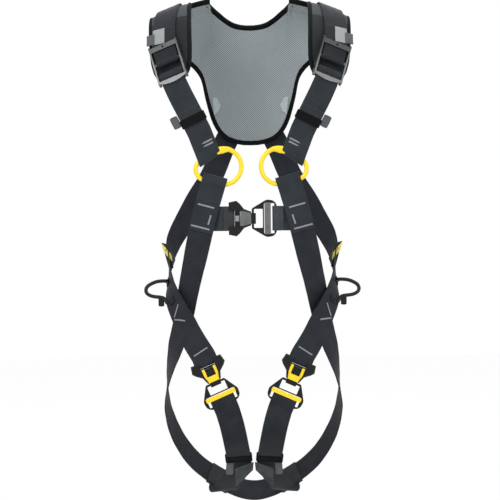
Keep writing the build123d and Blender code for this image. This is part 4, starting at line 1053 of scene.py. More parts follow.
def bar_fold(plane, bar, way, lower, upper, slack=0.0, close=7.0, reach=0.0):
    """Line of webbing folded round a bar: in along the lower layer, half round, out along the upper one.

    The layers leave towards way (+1 or -1) along the strap. Beyond slack they close to one layer's pitch. The
    loop stands reach beyond the bar, as loose webbing does.
    """
    x0, z0, bar_radius = bar
    x0, lower, upper, slack = x0 - way * reach, lower + reach, upper + reach, slack + reach
    radius = bar_radius + BAR_CLEARANCE + FACE
    turn = np.linspace(-math.pi / 2, math.pi / 2, 19)
    below = np.linspace(lower, 0, max(int(lower / 1.5), 3))[:-1]
    above = np.linspace(0, upper, max(int(upper / 1.5), 3))[1:]
    half = LAYER / 2
    drop, rise = (half + (radius - half) * (1 - smooth_step((run - slack) / close)) for run in (below, above))
    x = np.concatenate((x0 + way * below, x0 - way * radius * np.cos(turn), x0 + way * above))
    z = np.concatenate((z0 - drop, z0 + radius * np.sin(turn), z0 + rise))
    points = plane.at(x, 0 * x, z)
    along = along_of(points)
    return points, unit(np.cross(plane.y, along) * way)


def ring_bar(x, slope, outward):
    """Row x and z of a point of the ring's middle line, on the straight bar that touches its large arc.

    x is measured from the ring's middle, slope is the bar's in degrees, and outward is up (1) or down (-1).
    """
    angle = math.radians(slope)
    normal = (math.sin(angle), outward * math.cos(angle))
    y = (RING_LARGE_RADIUS - normal[0] * (x - RING_CIRCLE_X)) / normal[1]
    return RING_CENTRE[0] + x, RING_CENTRE[1] + y


def ring_fold_rows(last_row, bar_x, bar_z, slope, lean, back_reach, spread, over):
    """Rows of webbing that run on from a strap's last row, round a slanting bar, and back behind.

    Each thread runs straight to where its own line meets the bar, turns half round an oval that stands over
    millimetres past it, and comes back beside itself. spread is how far the layers stand apart, as pairs of a
    distance from the bar and half the gap there.
    """
    break_point = last_row[len(last_row) // 2]
    rise = math.tan(math.radians(slope))
    offsets = last_row[:, 0] - last_row[:, 2] * lean
    z = (bar_z + rise * (offsets - bar_x)) / (1 - rise * lean)
    bar = np.stack((offsets + lean * z, np.full_like(z, RING_PLANE_Y), z), axis=1)
    away = unit(np.sign(break_point[2] - bar_z) * np.array([lean, 0.0, 1.0]))
    reach = np.linalg.norm((last_row - bar)[:, ::2], axis=1)
    distances, gaps = zip(*spread)
    rows = []
    for share in np.linspace(0, 1, 22)[1:]:
        row = last_row * (1 - share) + bar * share
        gap = np.interp(reach * (1 - share), distances, gaps)
        row[:, 1] = RING_PLANE_Y - gap
        rows.append(row)
    for angle in np.linspace(0, math.pi, 15)[1:-1]:
        row = bar - away * over * math.sin(angle)
        row[:, 1] = RING_PLANE_Y - FOLD_RISE * math.cos(angle)
        rows.append(row)
    for distance in np.arange(0.0, back_reach, 2.0):
        row = bar + away * distance
        row[:, 1] = RING_PLANE_Y + np.interp(distance, distances, gaps)
        rows.append(row)
    return np.array(rows)


# -------- straps, piece by piece
def sizes():
    """The sizes that a user may change."""
    return bpy.context.scene.harness_sizes


def colours():
    """The colours that a user may change."""
    return bpy.context.scene.harness_colours


def outer(line):
    """The same line with its normals turned round."""
    return line[0], -line[1]


def linked(*lines):
    """One line from several, with doubled points left out and the joins eased."""
    points = np.concatenate([line[0] for line in lines])
    normals = np.concatenate([line[1] for line in lines])
    keep = np.concatenate(([True], np.linalg.norm(np.diff(points, axis=0), axis=1) > 0.35))
    points, normals = points[keep], normals[keep]
    for _ in range(2):
        points[1:-1] = (points[:-2] + 2 * points[1:-1] + points[2:]) / 4
        normals[1:-1] = (normals[:-2] + 2 * normals[1:-1] + normals[2:]) / 4
    return points, unit(normals)


def part_of(line, start, end):
    """Stretch of a line between two distances along it, in millimetres."""
    run = run_of(line[0]) / MM
    keep = (run >= start - 1e-6) & (run <= end + 1e-6)
    return line[0][keep], line[1][keep]


def on_side(grid, side):
    """Grid of the left side, or its mirror image with the same face outward."""
    return grid if side > 0 else grid[:, ::-1] * np.array([-1, 1, 1])


SEWN_HALF_WIDTH = 22.0  # how far from a strap's middle line a seam may come


def place_on(line, x, z):
    """Millimetres along a line and across it of the point of the strap that shows at x and z from the front."""
    points, normals = line
    across = unit(np.cross(along_of(points), normals))
    gap = np.array([x, z]) - points[:, ::2]
    flat = across[:, ::2]
    offset = np.sum(gap * flat, axis=1) / np.maximum(np.sum(flat * flat, axis=1), 1e-4)
    offset = np.clip(offset, -SEWN_HALF_WIDTH, SEWN_HALF_WIDTH)
    miss = np.linalg.norm(gap - offset[:, None] * flat, axis=1)
    best = int(np.argmin(miss))
    return run_of(points)[best] / MM, offset[best]


def tack_between(line, start, end):
    """Bar tack between two points given by x and z, for the left side."""
    return bar_tack(line, place_on(line, *start), place_on(line, *end))


TACK, NARROW_TACK = 1.7, 1.5  # half widths of the tacks


def tacks_object(name, paths, side, material, body=ROOT, half=TACK):
    """Satin bars of close thread: ovals with a ridge for each turn of the thread."""
    return thread_object(name, mirrored_paths(paths, side), half, material, body=body, height=TACK_HEIGHT,
                         ridge=TACK_RIDGE)


def mirrored_paths(paths, side):
    """Threads of the left side carried to either side."""
    return [mirrored_line(path, side) for path in paths]


def build_shoulder_strap(side, label, material):
    """Strap folded round the adjuster's bar, over the shoulder, and down to the dorsal plate."""
    start = at_point(SHOULDER_PLANE, -31.0, 0, 1.8, SHOULDER_FACING)
    route = [start] + OVER_SHOULDER
    if side < 0:
        route = raised_end(route, (0.3, 1.6, 2.6))
    fold = bar_fold(SHOULDER_PLANE, ADJUSTER_BAR, -1, 27.0, 27.0)
    line = linked(outer(fold), route_line(route))
    line = mirrored_line(line, side)
    strap = strap_object(f"over_shoulder_strap_{label}", line, material)
    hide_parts(f"shoulder_strap_{label}")
    return line


FRONT_TAIL_END_Z = -228.0
FRONT_FOLD_START_Z = -246.0
FOLD_GAPS = [(0.0, FOLD_RISE), (13.0, 1.35)]  # distance from the ring's bar, and half the gap of the layers
FRONT_FOLD_X, FRONT_FOLD_SLOPE = 18.5, 34.0  # where the strap meets the ring, and its bar's slope in degrees
FRONT_RUN_OUT = (86.5, -262.25)  # x and z that the strap's middle line passes on its way there
SEAT_FOLD_X, SEAT_FOLD_SLOPE = 11.0, 16.0
SEAT_RUN_OUT = (77.3, -367.75)
SEAT_START_Z = -378.0
SEAT_FOLD_Z = (-430.0, -376.0)  # foot and top of the doubled webbing below its fold
TAIL_SEAM = 20.2  # seams along the tail, from its middle line
TAIL_SEAM_REACH = (26.0, 1.5)
TAIL_CROSS_SEAMS = (2.0, 5.0, 25.0)  # seams across it, back from its end
RING_TACKS = (((104.5, -276.0), (71.0, -259.5)), ((101.0, -283.5), (68.5, -267.5)))
FRONT_TACKS = (
    ((98.0, -379.0), (68.0, -386.0)),
    ((74.5, -400.0), (79.5, -416.0)),
    ((111.0, -417.0), (77.0, -425.0)),
)
HIP_TACKS = (
    ((138.0, -563.0), (145.0, -588.0)),
    ((145.0, -592.0), (124.0, -594.0)),
    ((108.0, -658.0), (84.0, -641.0)),
)


def front_strap_lines():
    """Tail of the strap below the adjuster, and the strap's whole line from the tail's end to near the ring."""
    start = at_point(SHOULDER_PLANE, 39.0, 0, -0.6, SHOULDER_FACING)
    route = [start] + UPPER_FRONT
    main = route_line(route)
    tail = route_line(route, lift=LAYER)
    tail = part_of(tail, 0.0, distance_where(tail, 2, FRONT_TAIL_END_Z))
    fold = bar_fold(SHOULDER_PLANE, SLIDER_BAR, 1, 17.0, 17.0, slack=5.0, close=5.0)
    upper_main = part_of(main, 0.0, distance_where(main, 2, FRONT_FOLD_START_Z))
    return tail, linked(reversed_line(outer(tail)), reversed_line(fold), upper_main)


def build_front_strap(side, label, material, thread):
    """Strap from the adjuster down to the sternal ring, folded round both, with its tail laid over it.

    Gives the paths of the tail's seams.
    """
    tail, whole = front_strap_lines()
    grid = strap_grid(whole)
    bar_x, bar_z = ring_bar(FRONT_FOLD_X, FRONT_FOLD_SLOPE, 1)
    lean = (FRONT_RUN_OUT[0] - bar_x) / (FRONT_RUN_OUT[1] - bar_z)
    spread = FOLD_GAPS + [(60.0, 1.2)]
    rows = ring_fold_rows(grid[-1], bar_x, bar_z, -FRONT_FOLD_SLOPE, lean, 34.0, spread, 9.5)
    grid = np.concatenate((grid, rows))
    strap = sheet_object(f"front_strap_{label}", on_side(grid, side), WEBBING_THICKNESS * SELVEDGE, [material],
                         body=None)
    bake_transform(strap)
    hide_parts(f"upper_front_strap_{label}", f"upper_strap_end_{label}")
    ring_line = route_line(UPPER_FRONT)
    paths = [tack_between(ring_line, *ends) for ends in RING_TACKS]
    tacks = tacks_object(f"ring_tacks_{label}", paths, side, thread, body=None)
    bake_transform(tacks)
    tail_paths = []
    end = run_of(tail[0])[-1] / MM
    for offset in (-TAIL_SEAM, TAIL_SEAM):
        tail_paths += running_stitch(tail, (end - TAIL_SEAM_REACH[0], offset), (end - TAIL_SEAM_REACH[1], offset))
    for back in TAIL_CROSS_SEAMS:
        tail_paths += running_stitch(tail, (end - back, -20.0), (end - back, 20.0))
    return mirrored_paths(tail_paths, side)


COLLAR_TURN = (66.0, 112.0)  # degrees along the ring's large arc
COLLAR_NARROWS = (84.0, 26.0)  # degrees where it starts to narrow, and over how many
COLLAR_WIDTHS = (13.4, 9.2)  # at the strap, and where it meets the bar
COLLAR_DEPTHS = (9.3, 9.1)
COLLAR_SHIFT = 2.4


def build_ring_collar(side, label, material):
    """Flattened stretch of the sternal ring beside the upper strap.

    An oval is carried along the ring's large arc; it is widest at the strap and narrows to the bar's own section.
    """
    turn = np.linspace(*COLLAR_TURN, 26)
    angle = np.radians(turn)
    share = smooth_step((turn - COLLAR_NARROWS[0]) / COLLAR_NARROWS[1])
    radius = RING_LARGE_RADIUS - COLLAR_SHIFT * (1 - share)
    centre = np.array([RING_CENTRE[0] + RING_CIRCLE_X, RING_PLANE_Y, RING_CENTRE[1]])
    points = centre + radius[:, None] * np.stack((np.cos(angle), 0 * angle, np.sin(angle)), axis=1)
    normals = np.tile((0.0, -1.0, 0.0), (len(points), 1))
    section = oval_section(1.0, 1.0, 28, 3.0)
    wide, deep = (first + (last - first) * share for first, last in (COLLAR_WIDTHS, COLLAR_DEPTHS))
    across = unit(np.cross(along_of(points), normals))
    grid = points[:, None] + (section[None, :, :1] * wide[:, None, None]) * across[:, None]
    grid = grid + (section[None, :, 1:] * deep[:, None, None]) * normals[:, None]
    collar = tube_object(f"ring_flat_{label}", on_side(grid, side), run_of(points), section_lengths(section * 12.0))
    collar.data.materials.append(material)
    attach(collar, f"sternal_ring_{label}")


LOOP_ANCHOR_Z = (-520.7, -555.8)  # heights of the gear loop's two anchors on the hip strap
LOOP_ENDS = (-3.0, -12.5)  # how far across the strap the loop's two ends stand
LOOP_LIFT = 6.0
LOOP_THICKNESS = 6.9
LOOP_TAB_PLANE = ((170.5, -50.5, -557.6), (0.0, 0.0, -1.0), (0.1, -1.0, 0.0))
LOOP_TAB_SIZE = (20.0, 11.0, 2.6)
LOOP_ROUTE = [
    (160.5, -39.0, -520.3),
    (175.8, -40.5, -520.6),
    (189.6, -41.5, -525.2),
    (198.6, -42.5, -532.8),
    (198.9, -44.0, -540.8),
    (191.8, -45.5, -546.8),
    (179.0, -47.0, -549.6),
    (166.5, -48.5, -552.2),
]


def build_gear_loop(side, label, cover, tab):
    """Loop of covered cord between its two anchors: a round section carried along a spline, with its tab."""
    main = hip_lines()[0]
    places = [distance_where(main, 2, z) for z in LOOP_ANCHOR_Z]
    first, last = on_face(main, places, LOOP_ENDS, LOOP_LIFT)[0]
    points = smooth_curve([first, *LOOP_ROUTE, last], 1.5)[0]
    normals = np.tile(unit((0.12, -1.0, 0.0)), (len(points), 1))
    section = oval_section(LOOP_THICKNESS, LOOP_THICKNESS, 20, 2.0)
    grid = swept((points, normals), section)
    loop = tube_object(f"loop_tube_{label}", on_side(grid, side), run_of(points), section_lengths(section))
    loop.data.materials.append(cover)
    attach(loop, f"gear_loop_{label}")
    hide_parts(f"gear_loop_{label}")
    rounded_plate(f"loop_tab_{label}", LocalPlane(*LOOP_TAB_PLANE), (0.0, 0.0, 0.0), LOOP_TAB_SIZE, tab,
                  f"gear_loop_{label}", side)


def seat_line():
    """Whole line of the strap that runs from ring to ring under the seat."""
    route = SEAT + mirrored_route(SEAT[:-1])[::-1]
    return route_line(route)


def build_seat_strap(material):
    """One strap from the left ring's fold, down the thigh, under the seat, and up to the right ring's."""
    line = seat_line()
    total = run_of(line[0])[-1] / MM
    start = distance_where(part_of(line, 0.0, total / 2), 2, SEAT_START_Z)
    strap = strap_object("sub_pelvic_strap", part_of(line, start, total - start), material)
    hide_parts("seat_strap")


def build_lower_fold(side, label, material, thread):
    """Doubled webbing from the front strap's foot up to its fold round the sternal ring."""
    front = route_line(SEAT, lift=LAYER)
    low, high = (distance_where(front, 2, z) for z in SEAT_FOLD_Z)
    grid = strap_grid(reversed_line(part_of(front, high, low)))
    bar_x, bar_z = ring_bar(SEAT_FOLD_X, SEAT_FOLD_SLOPE, -1)
    lean = (SEAT_RUN_OUT[0] - bar_x) / (SEAT_RUN_OUT[1] - bar_z)
    spread = FOLD_GAPS + [(24.0, 1.4), (40.0, 2.55), (100.0, 2.6)]
    rows = ring_fold_rows(grid[-1], bar_x, bar_z, SEAT_FOLD_SLOPE, lean, 60.0, spread, 13.0)
    grid = np.concatenate((grid, rows))
    fold = sheet_object(f"ring_fold_{label}", on_side(grid, side), WEBBING_THICKNESS * SELVEDGE, [material],
                        body=None)
    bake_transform(fold)
    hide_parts(f"lower_strap_end_{label}")
    tacks = [tack_between(front, *ends) for ends in FRONT_TACKS]
    tacks_object(f"front_tacks_{label}", tacks, side, thread)


def build_chest_belt(material):
    """Belt on each side of the buckle: folded round its bar, and sewn behind the front strap."""
    start = at_point(CHEST_PLANE, END_BAR[0] + 13.0, 0, 0.6, (0, -1, 0))
    behind = route_line([start] + CHEST_BEHIND)
    fold = bar_fold(CHEST_PLANE, END_BAR, 1, 12.0, 15.0, slack=3.0, reach=1.2)
    left = linked(reversed_line(fold), behind)
    belt = strap_object("chest_belt_left", left, material)
    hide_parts("chest_strap_left")
    start = at_point(CHEST_PLANE, STRAP_BAR[0] - 14.0, 0, 0.8, (0, -1, 0))
    behind = route_line([start] + mirrored_route(CHEST_BEHIND))
    fold = bar_fold(CHEST_PLANE, STRAP_BAR, -1, 13.0, 14.0, slack=2.6, reach=2.4)
    right = linked(reversed_line(fold), behind)
    belt = strap_object("chest_belt_right", right, material)
    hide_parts("chest_strap_right")


def build_back_strap(side, label, material):
    """Strap from the dorsal plate round to the hip; the right one crosses over the left at the plate."""
    route = BACK
    if side < 0:
        route = raised_end(BACK[::-1], (0.8, 2.6))[::-1]
    line = mirrored_line(route_line(route), side)
    strap = strap_object(f"dorsal_strap_{label}", line, material)
    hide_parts(f"back_strap_{label}")


HIP_SEWN_END_Z = -585.0
ANCHOR_HALF_LENGTH = 6.5
ANCHOR_WIDTH = 15.0
ANCHOR_SHIFT = 3.0
# corners of the hip strap's folded end: outer and inner of its upper edge, inner and outer of its lower one
FOLDED_END = [(173.0, 25.0, -448.0), (159.0, 23.0, -452.0), (149.5, -1.0, -496.0), (157.5, 0.0, -499.0)]
FOLDED_END_THICKNESS = 2.2
MARK_LIFT = (0.0, -1.3, 0.0)
MARK_SHARES = (0.07, 0.31, 0.38)  # first and last start along the folded end's outer edge, and the slant


def hip_lines():
    """Main layer of the hip strap, and its whole line round the latch's bar and back up behind."""
    route = HIP + [at_point(LEG_PLANE, STRAP_BAR[0] - 14.0, 0, STRAP_BAR[1] + LAYER / 2, LEG_FACING)]
    main = route_line(route)
    back = route_line(route, lift=-LAYER)
    back = part_of(back, distance_where(back, 2, HIP_SEWN_END_Z), math.inf)
    fold = bar_fold(LEG_PLANE, STRAP_BAR, -1, 13.0, 13.0, slack=2.6, reach=2.4)
    whole = linked(back, fold, reversed_line(outer(main)))
    return main, whole


def build_hip_strap(side, label, material, tab_material, thread, gold):
    """Strap from the hip to the leg latch, doubled from the latch up to its sewn end.

    With it come the gear loop's anchors, the tacks, and the folded end with its slanting wear marks.
    """
    main, whole = hip_lines()
    strap = strap_object(f"hip_to_latch_strap_{label}", mirrored_line(whole, side), material)
    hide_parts(f"hip_strap_{label}")
    for index, z in enumerate(LOOP_ANCHOR_Z):
        place = distance_where(main, 2, z)
        points, normals = part_of(main, place - ANCHOR_HALF_LENGTH, place + ANCHOR_HALF_LENGTH)
        shares = np.linspace(-1, 1, 9)
        grid = strap_grid((points + LAYER * normals, normals), ANCHOR_WIDTH, shares)
        grid = grid - ANCHOR_SHIFT * unit(np.cross(along_of(points), normals))[:, None]
        swell = 1.0 + 2.6 * (1 - shares**2)
        sheet_object(f"loop_anchor_{index}_{label}", on_side(grid, side), swell, [tab_material])
    paths = [tack_between(main, *ends) for ends in HIP_TACKS]
    tacks_object(f"hip_tacks_{label}", paths, side, thread, half=NARROW_TACK)
    grid = patch_grid(FOLDED_END, 22, 9)
    sheet_object(f"folded_end_{label}", on_side(grid, side), FOLDED_END_THICKNESS, [material])
    marks = []
    share = np.linspace(0, 1, 14)[:, None]
    first_start, last_start, slant = MARK_SHARES
    for start in np.linspace(first_start, last_start, 6):
        top = grid[0, 0] * (1 - start) + grid[-1, 0] * start
        foot = grid[0, -1] * (1 - start - slant) + grid[-1, -1] * (start + slant)
        marks.append((top * (1 - share) + foot * share + MARK_LIFT, np.tile((0.0, -1.0, 0.0), (14, 1))))
    tacks_object(f"wear_mark_{label}", marks, side, gold, half=NARROW_TACK)


LEG_TAIL_END_Z = -882.0
# corners of the leg strap's sewn end: inner and outer of its upper edge, outer and inner of its lower one
TAIL_END = [(1.5, -61.0, -859.0), (36.0, -61.0, -871.0), (36.0, -26.0, -910.0), (3.0, -42.0, -876.0)]
TAIL_END_THICKNESS = 2.4
TAIL_END_SEAMS = (((1, 1), (1, 13)), ((1, 13), (13, 13)), ((13, 13), (13, 1)), ((13, 1), (1, 1)))
TAIL_END_SEAM_LIFT = 1.3
SLEEVE_CENTRE = (67.5, 69.5, -905.0)
SLEEVE_HALF_LENGTH = 22.5


def leg_line():
    """Line of the leg strap: from its tail's end up over it, round the frame's end bar, and down to the sleeve."""
    x = END_BAR[0] + 12.0
    main = route_line([at_point(LEG_PLANE, x, 0, 0.6, LEG_FACING)] + LEG)
    tail = route_line([at_point(LEG_PLANE, x, 0, 0.7, LEG_FACING)] + LEG, lift=2.3)
    tail = part_of(tail, 0.0, distance_where(tail, 2, LEG_TAIL_END_Z))
    fold = bar_fold(LEG_PLANE, END_BAR, 1, 11.5, 11.5, slack=3.2, reach=9.0)
    return linked(reversed_line(outer(tail)), reversed_line(fold), main)


def build_leg_strap(side, label, material, sleeve_material, end_material, thread):
    """Strap folded round the leg frame's end bar, with its sewn end and its sleeve on the sub-pelvic strap."""
    strap = strap_object(f"thigh_strap_{label}", mirrored_line(leg_line(), side), material)
    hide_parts(f"leg_strap_{label}")
    grid = patch_grid(TAIL_END, 15, 15)
    sheet_object(f"tail_end_{label}", on_side(grid, side), TAIL_END_THICKNESS, [end_material])
    line = seat_line()
    near = int(np.argmin(np.linalg.norm(line[0] - SLEEVE_CENTRE, axis=1)))
    mid = run_of(line[0])[near] / MM
    sleeve = mirrored_line(part_of(line, mid - SLEEVE_HALF_LENGTH, mid + SLEEVE_HALF_LENGTH), side)
    band_object(f"strap_sleeve_{label}", sleeve, 46.0, 3.2, 1.9, sleeve_material, ROOT)
    facing = unit(np.cross(grid[-1, 7] - grid[0, 7], grid[0, -1] - grid[0, 0]))
    facing = facing if facing[1] < 0 else -facing
    paths = []
    share = np.linspace(0, 1, 12)[:, None]
    for start, end in TAIL_END_SEAMS:
        seam = grid[start] * (1 - share) + grid[end] * share + TAIL_END_SEAM_LIFT * facing
        paths += [(seam[k : k + 2], np.tile(facing, (2, 1))) for k in range(0, 11, 2)]
    thread_object(f"tail_stitches_{label}", mirrored_paths(paths, side), 0.4, thread)


def rounded_plate(name, plane, centre, size, material, body, side):
    """Small plate with round corners: a square grid drawn part of the way to a disc, thinner at its rim."""
    length, width, thickness = size
    u, v = np.meshgrid(np.linspace(-1, 1, 13), np.linspace(-1, 1, 13), indexing="ij")
    round_u, round_v = u * np.sqrt(1 - v * v / 2), v * np.sqrt(1 - u * u / 2)
    x = centre[0] + length / 2 * (0.72 * u + 0.28 * round_u)
    y = centre[1] + width / 2 * (0.72 * v + 0.28 * round_v)
    grid = plane.at(x, y, centre[2] + 0 * x)
    swell = thickness * (0.62 + 0.38 * np.clip((1 - np.maximum(np.abs(u), np.abs(v))) * 4, 0, 1))
    return sheet_object(name, on_side(grid, side), swell, [material], body)


KEEPERS = {
    "front_keeper": {
        "plane": ((106.2, -125.0, -222.6), (-0.4472, 0.0, -0.8944), (0.05, -1.0, 0.0)),
        "lift": LAYER / 2,
        "slack": 0.8,
        "reach": (-4.5, 9.6),
        "plate": (-7.0, 7.5, 23.0, 15.0),
        "hang": False,
    },
    "leg_keeper": {
        "plane": ((28.8, -65.0, -849.8), (-0.05, 0.80, -0.60), (-0.035, -0.60, -0.80)),
        "lift": 0.0,
        "slack": 1.6,
        "reach": (-9.6, 9.6),
        "plate": (12.0, -7.0, 28.0, 14.0),
        "hang": True,
    },
}
KEEPER_WALL = 1.4
KEEPER_TAB_THICKNESS = 3.0
TAB_HANG = ((0.05, 0.1, -1.0), (0.0, -1.0, -0.1))  # how a hanging tab runs and faces


def build_keeper(name, side, label, band, tab):
    """Elastic band round two layers of strap, with its moulded tab.

    reach is where the band starts and ends along the strap, and slack how much looser it is than a snug one. plate
    is the tab's x, y, length and width in the band's plane, or in a plane that hangs down from it when hang is true.
    """
    origin, along, facing = KEEPERS[name]["plane"]
    lift, slack, reach, plate, hang = (KEEPERS[name][key] for key in ("lift", "slack", "reach", "plate", "hang"))
    plane = LocalPlane(origin, along, facing)
    places = np.linspace(*reach, 15)
    points = plane.at(places, 0 * places, 0 * places)
    line = mirrored_line((points, np.tile(plane.z, (len(points), 1))), side)
    wide, deep = 46.0 + slack, 5.4 + slack
    body = f"{name}_{label}"
    obj = band_object(f"{name}_band_{label}", line, wide, deep, KEEPER_WALL, band, body, lift=lift)
    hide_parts(f"{name}_{label}")
    if hang:
        plane = LocalPlane(plane.at(reach[1], wide / 2, lift), *TAB_HANG)
        wide = 0.0
    rounded_plate(f"{name}_tab_{label}", plane, (plate[0], wide / 2 + plate[1], lift),
                  (plate[2], plate[3], KEEPER_TAB_THICKNESS), tab, body, side)


LABEL_HEIGHTS = (-83.0, -52.0)
FOLD_SAMPLES = 25  # samples of the strap's line round the adjuster's bar, which the label stands clear of
LABEL_TAB_EDGES = (18.0, 33.0)


def build_labels(side, label, line, film, pocket, tab):
    """Blank label, its pocket and its folded tab on the shoulder strap above the adjuster.

    Each is a strip of the strap's own surface between two distances across it, lifted off it.
    """
    low, high = LABEL_HEIGHTS
    in_front = (line[0][:, 1] < -40.0) & (line[0][:, 2] < high) & (line[0][:, 2] > low)
    run = run_of(line[0])[in_front & (np.arange(len(in_front)) > FOLD_SAMPLES)] / MM
    near, far = run[0], run[-1]
    stretch = part_of(line, near, far)
    way = 1.0 if np.cross(along_of(stretch[0])[0], stretch[1][0])[0] * side > 0 else -1.0
    patches = (("label", film, -2.0, 21.5, 0.6, 1.5), ("pocket", pocket, -21.5, -3.0, 1.2, 1.7))
    for name, material, inner, outer_edge, thickness, lift in patches:
        shares = np.sort(way * np.linspace(inner, outer_edge, 9)) / (WEBBING_WIDTH / 2)
        grid = strap_grid((stretch[0] + lift * stretch[1], stretch[1]), WEBBING_WIDTH, shares)
        sheet_object(f"{name}_{label}", grid, thickness, [material])
    low_part = part_of(line, near, near + 0.75 * (far - near))
    shares = np.sort(way * np.linspace(*LABEL_TAB_EDGES, 9)) / (WEBBING_WIDTH / 2)
    grid = strap_grid((low_part[0] + LAYER * low_part[1], low_part[1]), WEBBING_WIDTH, shares)
    sheet_object(f"label_tab_{label}", grid, 1.6, [tab])


# -------- finishes by name
MADE = set()


def finish(name):
    """The material of one name, made the first time that it is asked for."""
    if name in bpy.data.materials and name in MADE:
        return bpy.data.materials[name]
    MADE.add(name)
    tone = colours()
    makers = {
        "strap_black": lambda: woven(name, tone.webbing),
        "strap_shoulder": lambda: woven(name, tone.shoulder_webbing, worn=1.4),
        "strap_chest": lambda: woven(name, tone.chest_webbing, rib=1.9, pick=1.5),
        "strap_leg": lambda: woven(name, tone.leg_webbing, worn=1.8),
        "strap_front": lambda: woven(name, tone.front_webbing),
        "strap_tab": lambda: woven(name, tone.leg_webbing, rib=1.1, pick=1.2),
        "mesh_grey": lambda: spacer_mesh(name, tone.mesh, sizes().mesh_pitch / MM),
        "mesh_pale": lambda: spacer_mesh(name, faded(tone.mesh, 1.35)[:3], sizes().mesh_pitch / MM, 0.5),
        "mesh_dark": lambda: spacer_mesh(name, tone.pad_mesh, sizes().mesh_pitch / MM, 0.45),
        "pad_fabric": lambda: woven(name, tone.pad_fabric, rib=0.9, pick=0.9, worn=1.3),
        "binding": lambda: tape(name, tone.binding),
        "elastic": lambda: tape(name, tone.elastic, 2.0),
        "sleeve": lambda: woven(name, tone.sleeve, rib=1.0, pick=2.2),
        "label_film": lambda: printed_film(name, tone.label),
        "grey_tab": lambda: woven(name, tone.tab, rib=1.2, pick=1.2, worn=1.3),
        "thread_grey": lambda: twisted_thread(name, tone.thread),
        "thread_dark": lambda: twisted_thread(name, tone.dark_thread),
        "thread_gold": lambda: twisted_thread(name, tone.gold_thread),
        "yellow_lacquer": lambda: coated(name, tone.yellow, (0.25, 0.45), coat=0.1, scuff=0.75),
        "black_lacquer": lambda: coated(name, tone.black_metal, (0.16, 0.32), scuff=3.0, gloss=0.3),
        "black_moulding": lambda: coated(name, tone.black_plastic, (0.35, 0.55), grain=900.0, gloss=0.18),
        "light_moulding": lambda: coated(name, tone.light_plastic, (0.35, 0.5), coat=0.1, scuff=0.8, grain=900.0),
        "tube": lambda: coated(name, tone.tube, (0.3, 0.5), scuff=1.6, grain=500.0, gloss=0.2),
        "alloy": lambda: brushed(name, tone.alloy),
        # the adjuster's frame gets painted shade on its upper part
        "adjuster": lambda: brushed(name, tone.alloy, painted_shade_top=(-0.128, -0.098)),
        "steel": lambda: brushed(name, tone.steel, (0.2, 0.4), 1.0),
        "dark_steel": lambda: brushed(name, tone.dark_steel, (0.3, 0.5), 0.6),
        "pad_edge": lambda: tape(name, tone.pad_edge),
        "tail_end": lambda: tape(name, tone.tail_end),
    }
    makers[name]()
    return bpy.data.materials[name]


# the finish of every rigid node whose name holds the word
NODE_FINISHES = {
    "sternal_ring": "yellow_lacquer",
    "dorsal_ring": "steel",
    "dorsal_plate": "black_moulding",
    "shoulder_buckle_frame": "adjuster",
    "shoulder_buckle_slider": "dark_steel",
    "gear_loop": "tube",
    "chest_latch_body": "black_lacquer",
    "chest_latch_lever": "alloy",
    "chest_latch_button": "light_moulding",
    "chest_locking_slide": "alloy",
    "chest_buckle_frame": "black_lacquer",
    "leg_latch_body": "black_lacquer",
    "leg_latch_lever": "yellow_lacquer",
    "leg_latch_button": "black_moulding",
    "leg_locking_slide": "yellow_lacquer",
    "leg_buckle_frame": "black_lacquer",
    "latch_spring": "dark_steel",
    "lever_pin": "dark_steel",
}
WELD_REACH = 0.00001
BEVEL_ANGLE = math.radians(32)
BEVELLED = ("latch_body", "latch_lever", "buckle_frame", "locking_slide", "dorsal_plate", "latch_button")


def dress_hardware():
    """Give every rigid node its finish, and the plates a small bevel."""
    for node, obj in NODES.items():
        for key, name in NODE_FINISHES.items():
            if key in node:
                if not obj.material_slots:
                    obj.data.materials.append(finish(name))
                for slot in obj.material_slots:
                    slot.link = "OBJECT"
                    slot.material = finish(name)
        if any(key in node for key in BEVELLED):
            weld = obj.modifiers.new("weld", "WELD")
            weld.merge_threshold = WELD_REACH
            bevel = obj.modifiers.new("bevel", "BEVEL")
            bevel.width = sizes().metal_bevel
            bevel.segments = 2
            bevel.limit_method = "ANGLE"
            bevel.angle_limit = BEVEL_ANGLE
            bevel.harden_normals = False


# -------- stage
def white_for_camera(name, colour, share):
    """Plain surface whose colour fills up to white for the camera and in reflections, and still takes a shadow."""
    material = bpy.data.materials.new(name)
    material.use_nodes = True
    tree = material.node_tree
    shader = tree.nodes["Principled BSDF"]
    shader.inputs["Base Color"].default_value = (*colour, 1.0)
    shader.inputs["Roughness"].default_value = 0.9
    glow = tree.nodes.new("ShaderNodeEmission")
    glow.inputs["Strength"].default_value = 1.0
    mix = tree.nodes.new("ShaderNodeMixShader")
    tree.links.new(seen_rays(tree, share), mix.inputs[0])
    tree.links.new(shader.outputs[0], mix.inputs[1])
    tree.links.new(glow.outputs[0], mix.inputs[2])
    tree.links.new(mix.outputs[0], tree.nodes["Material Output"].inputs[0])
    return material


def seen_rays(tree, share):
    """Share for camera, glossy and transmission rays, and nought for the rest."""
    path = tree.nodes.new("ShaderNodeLightPath")
    total = path.outputs["Is Camera Ray"]
    for kind in ("Is Glossy Ray", "Is Transmission Ray"):
        add = tree.nodes.new("ShaderNodeMath")
        add.operation = "MAXIMUM"
        tree.links.new(total, add.inputs[0])
        tree.links.new(path.outputs[kind], add.inputs[1])
        total = add.outputs[0]
    scale = tree.nodes.new("ShaderNodeMath")
    scale.operation = "MULTIPLY"
    tree.links.new(total, scale.inputs[0])
    scale.inputs[1].default_value = share
    return scale.outputs[0]


def plane_object(name, corners, material):
    """Flat stage piece through four corners, in metres."""
    mesh = bpy.data.meshes.new(name)
    mesh.from_pydata(corners, [], [(0, 1, 2, 3)])
    mesh.update()
    obj = bpy.data.objects.new(name, mesh)
    bpy.context.scene.collection.objects.link(obj)
    obj.data.materials.append(material)


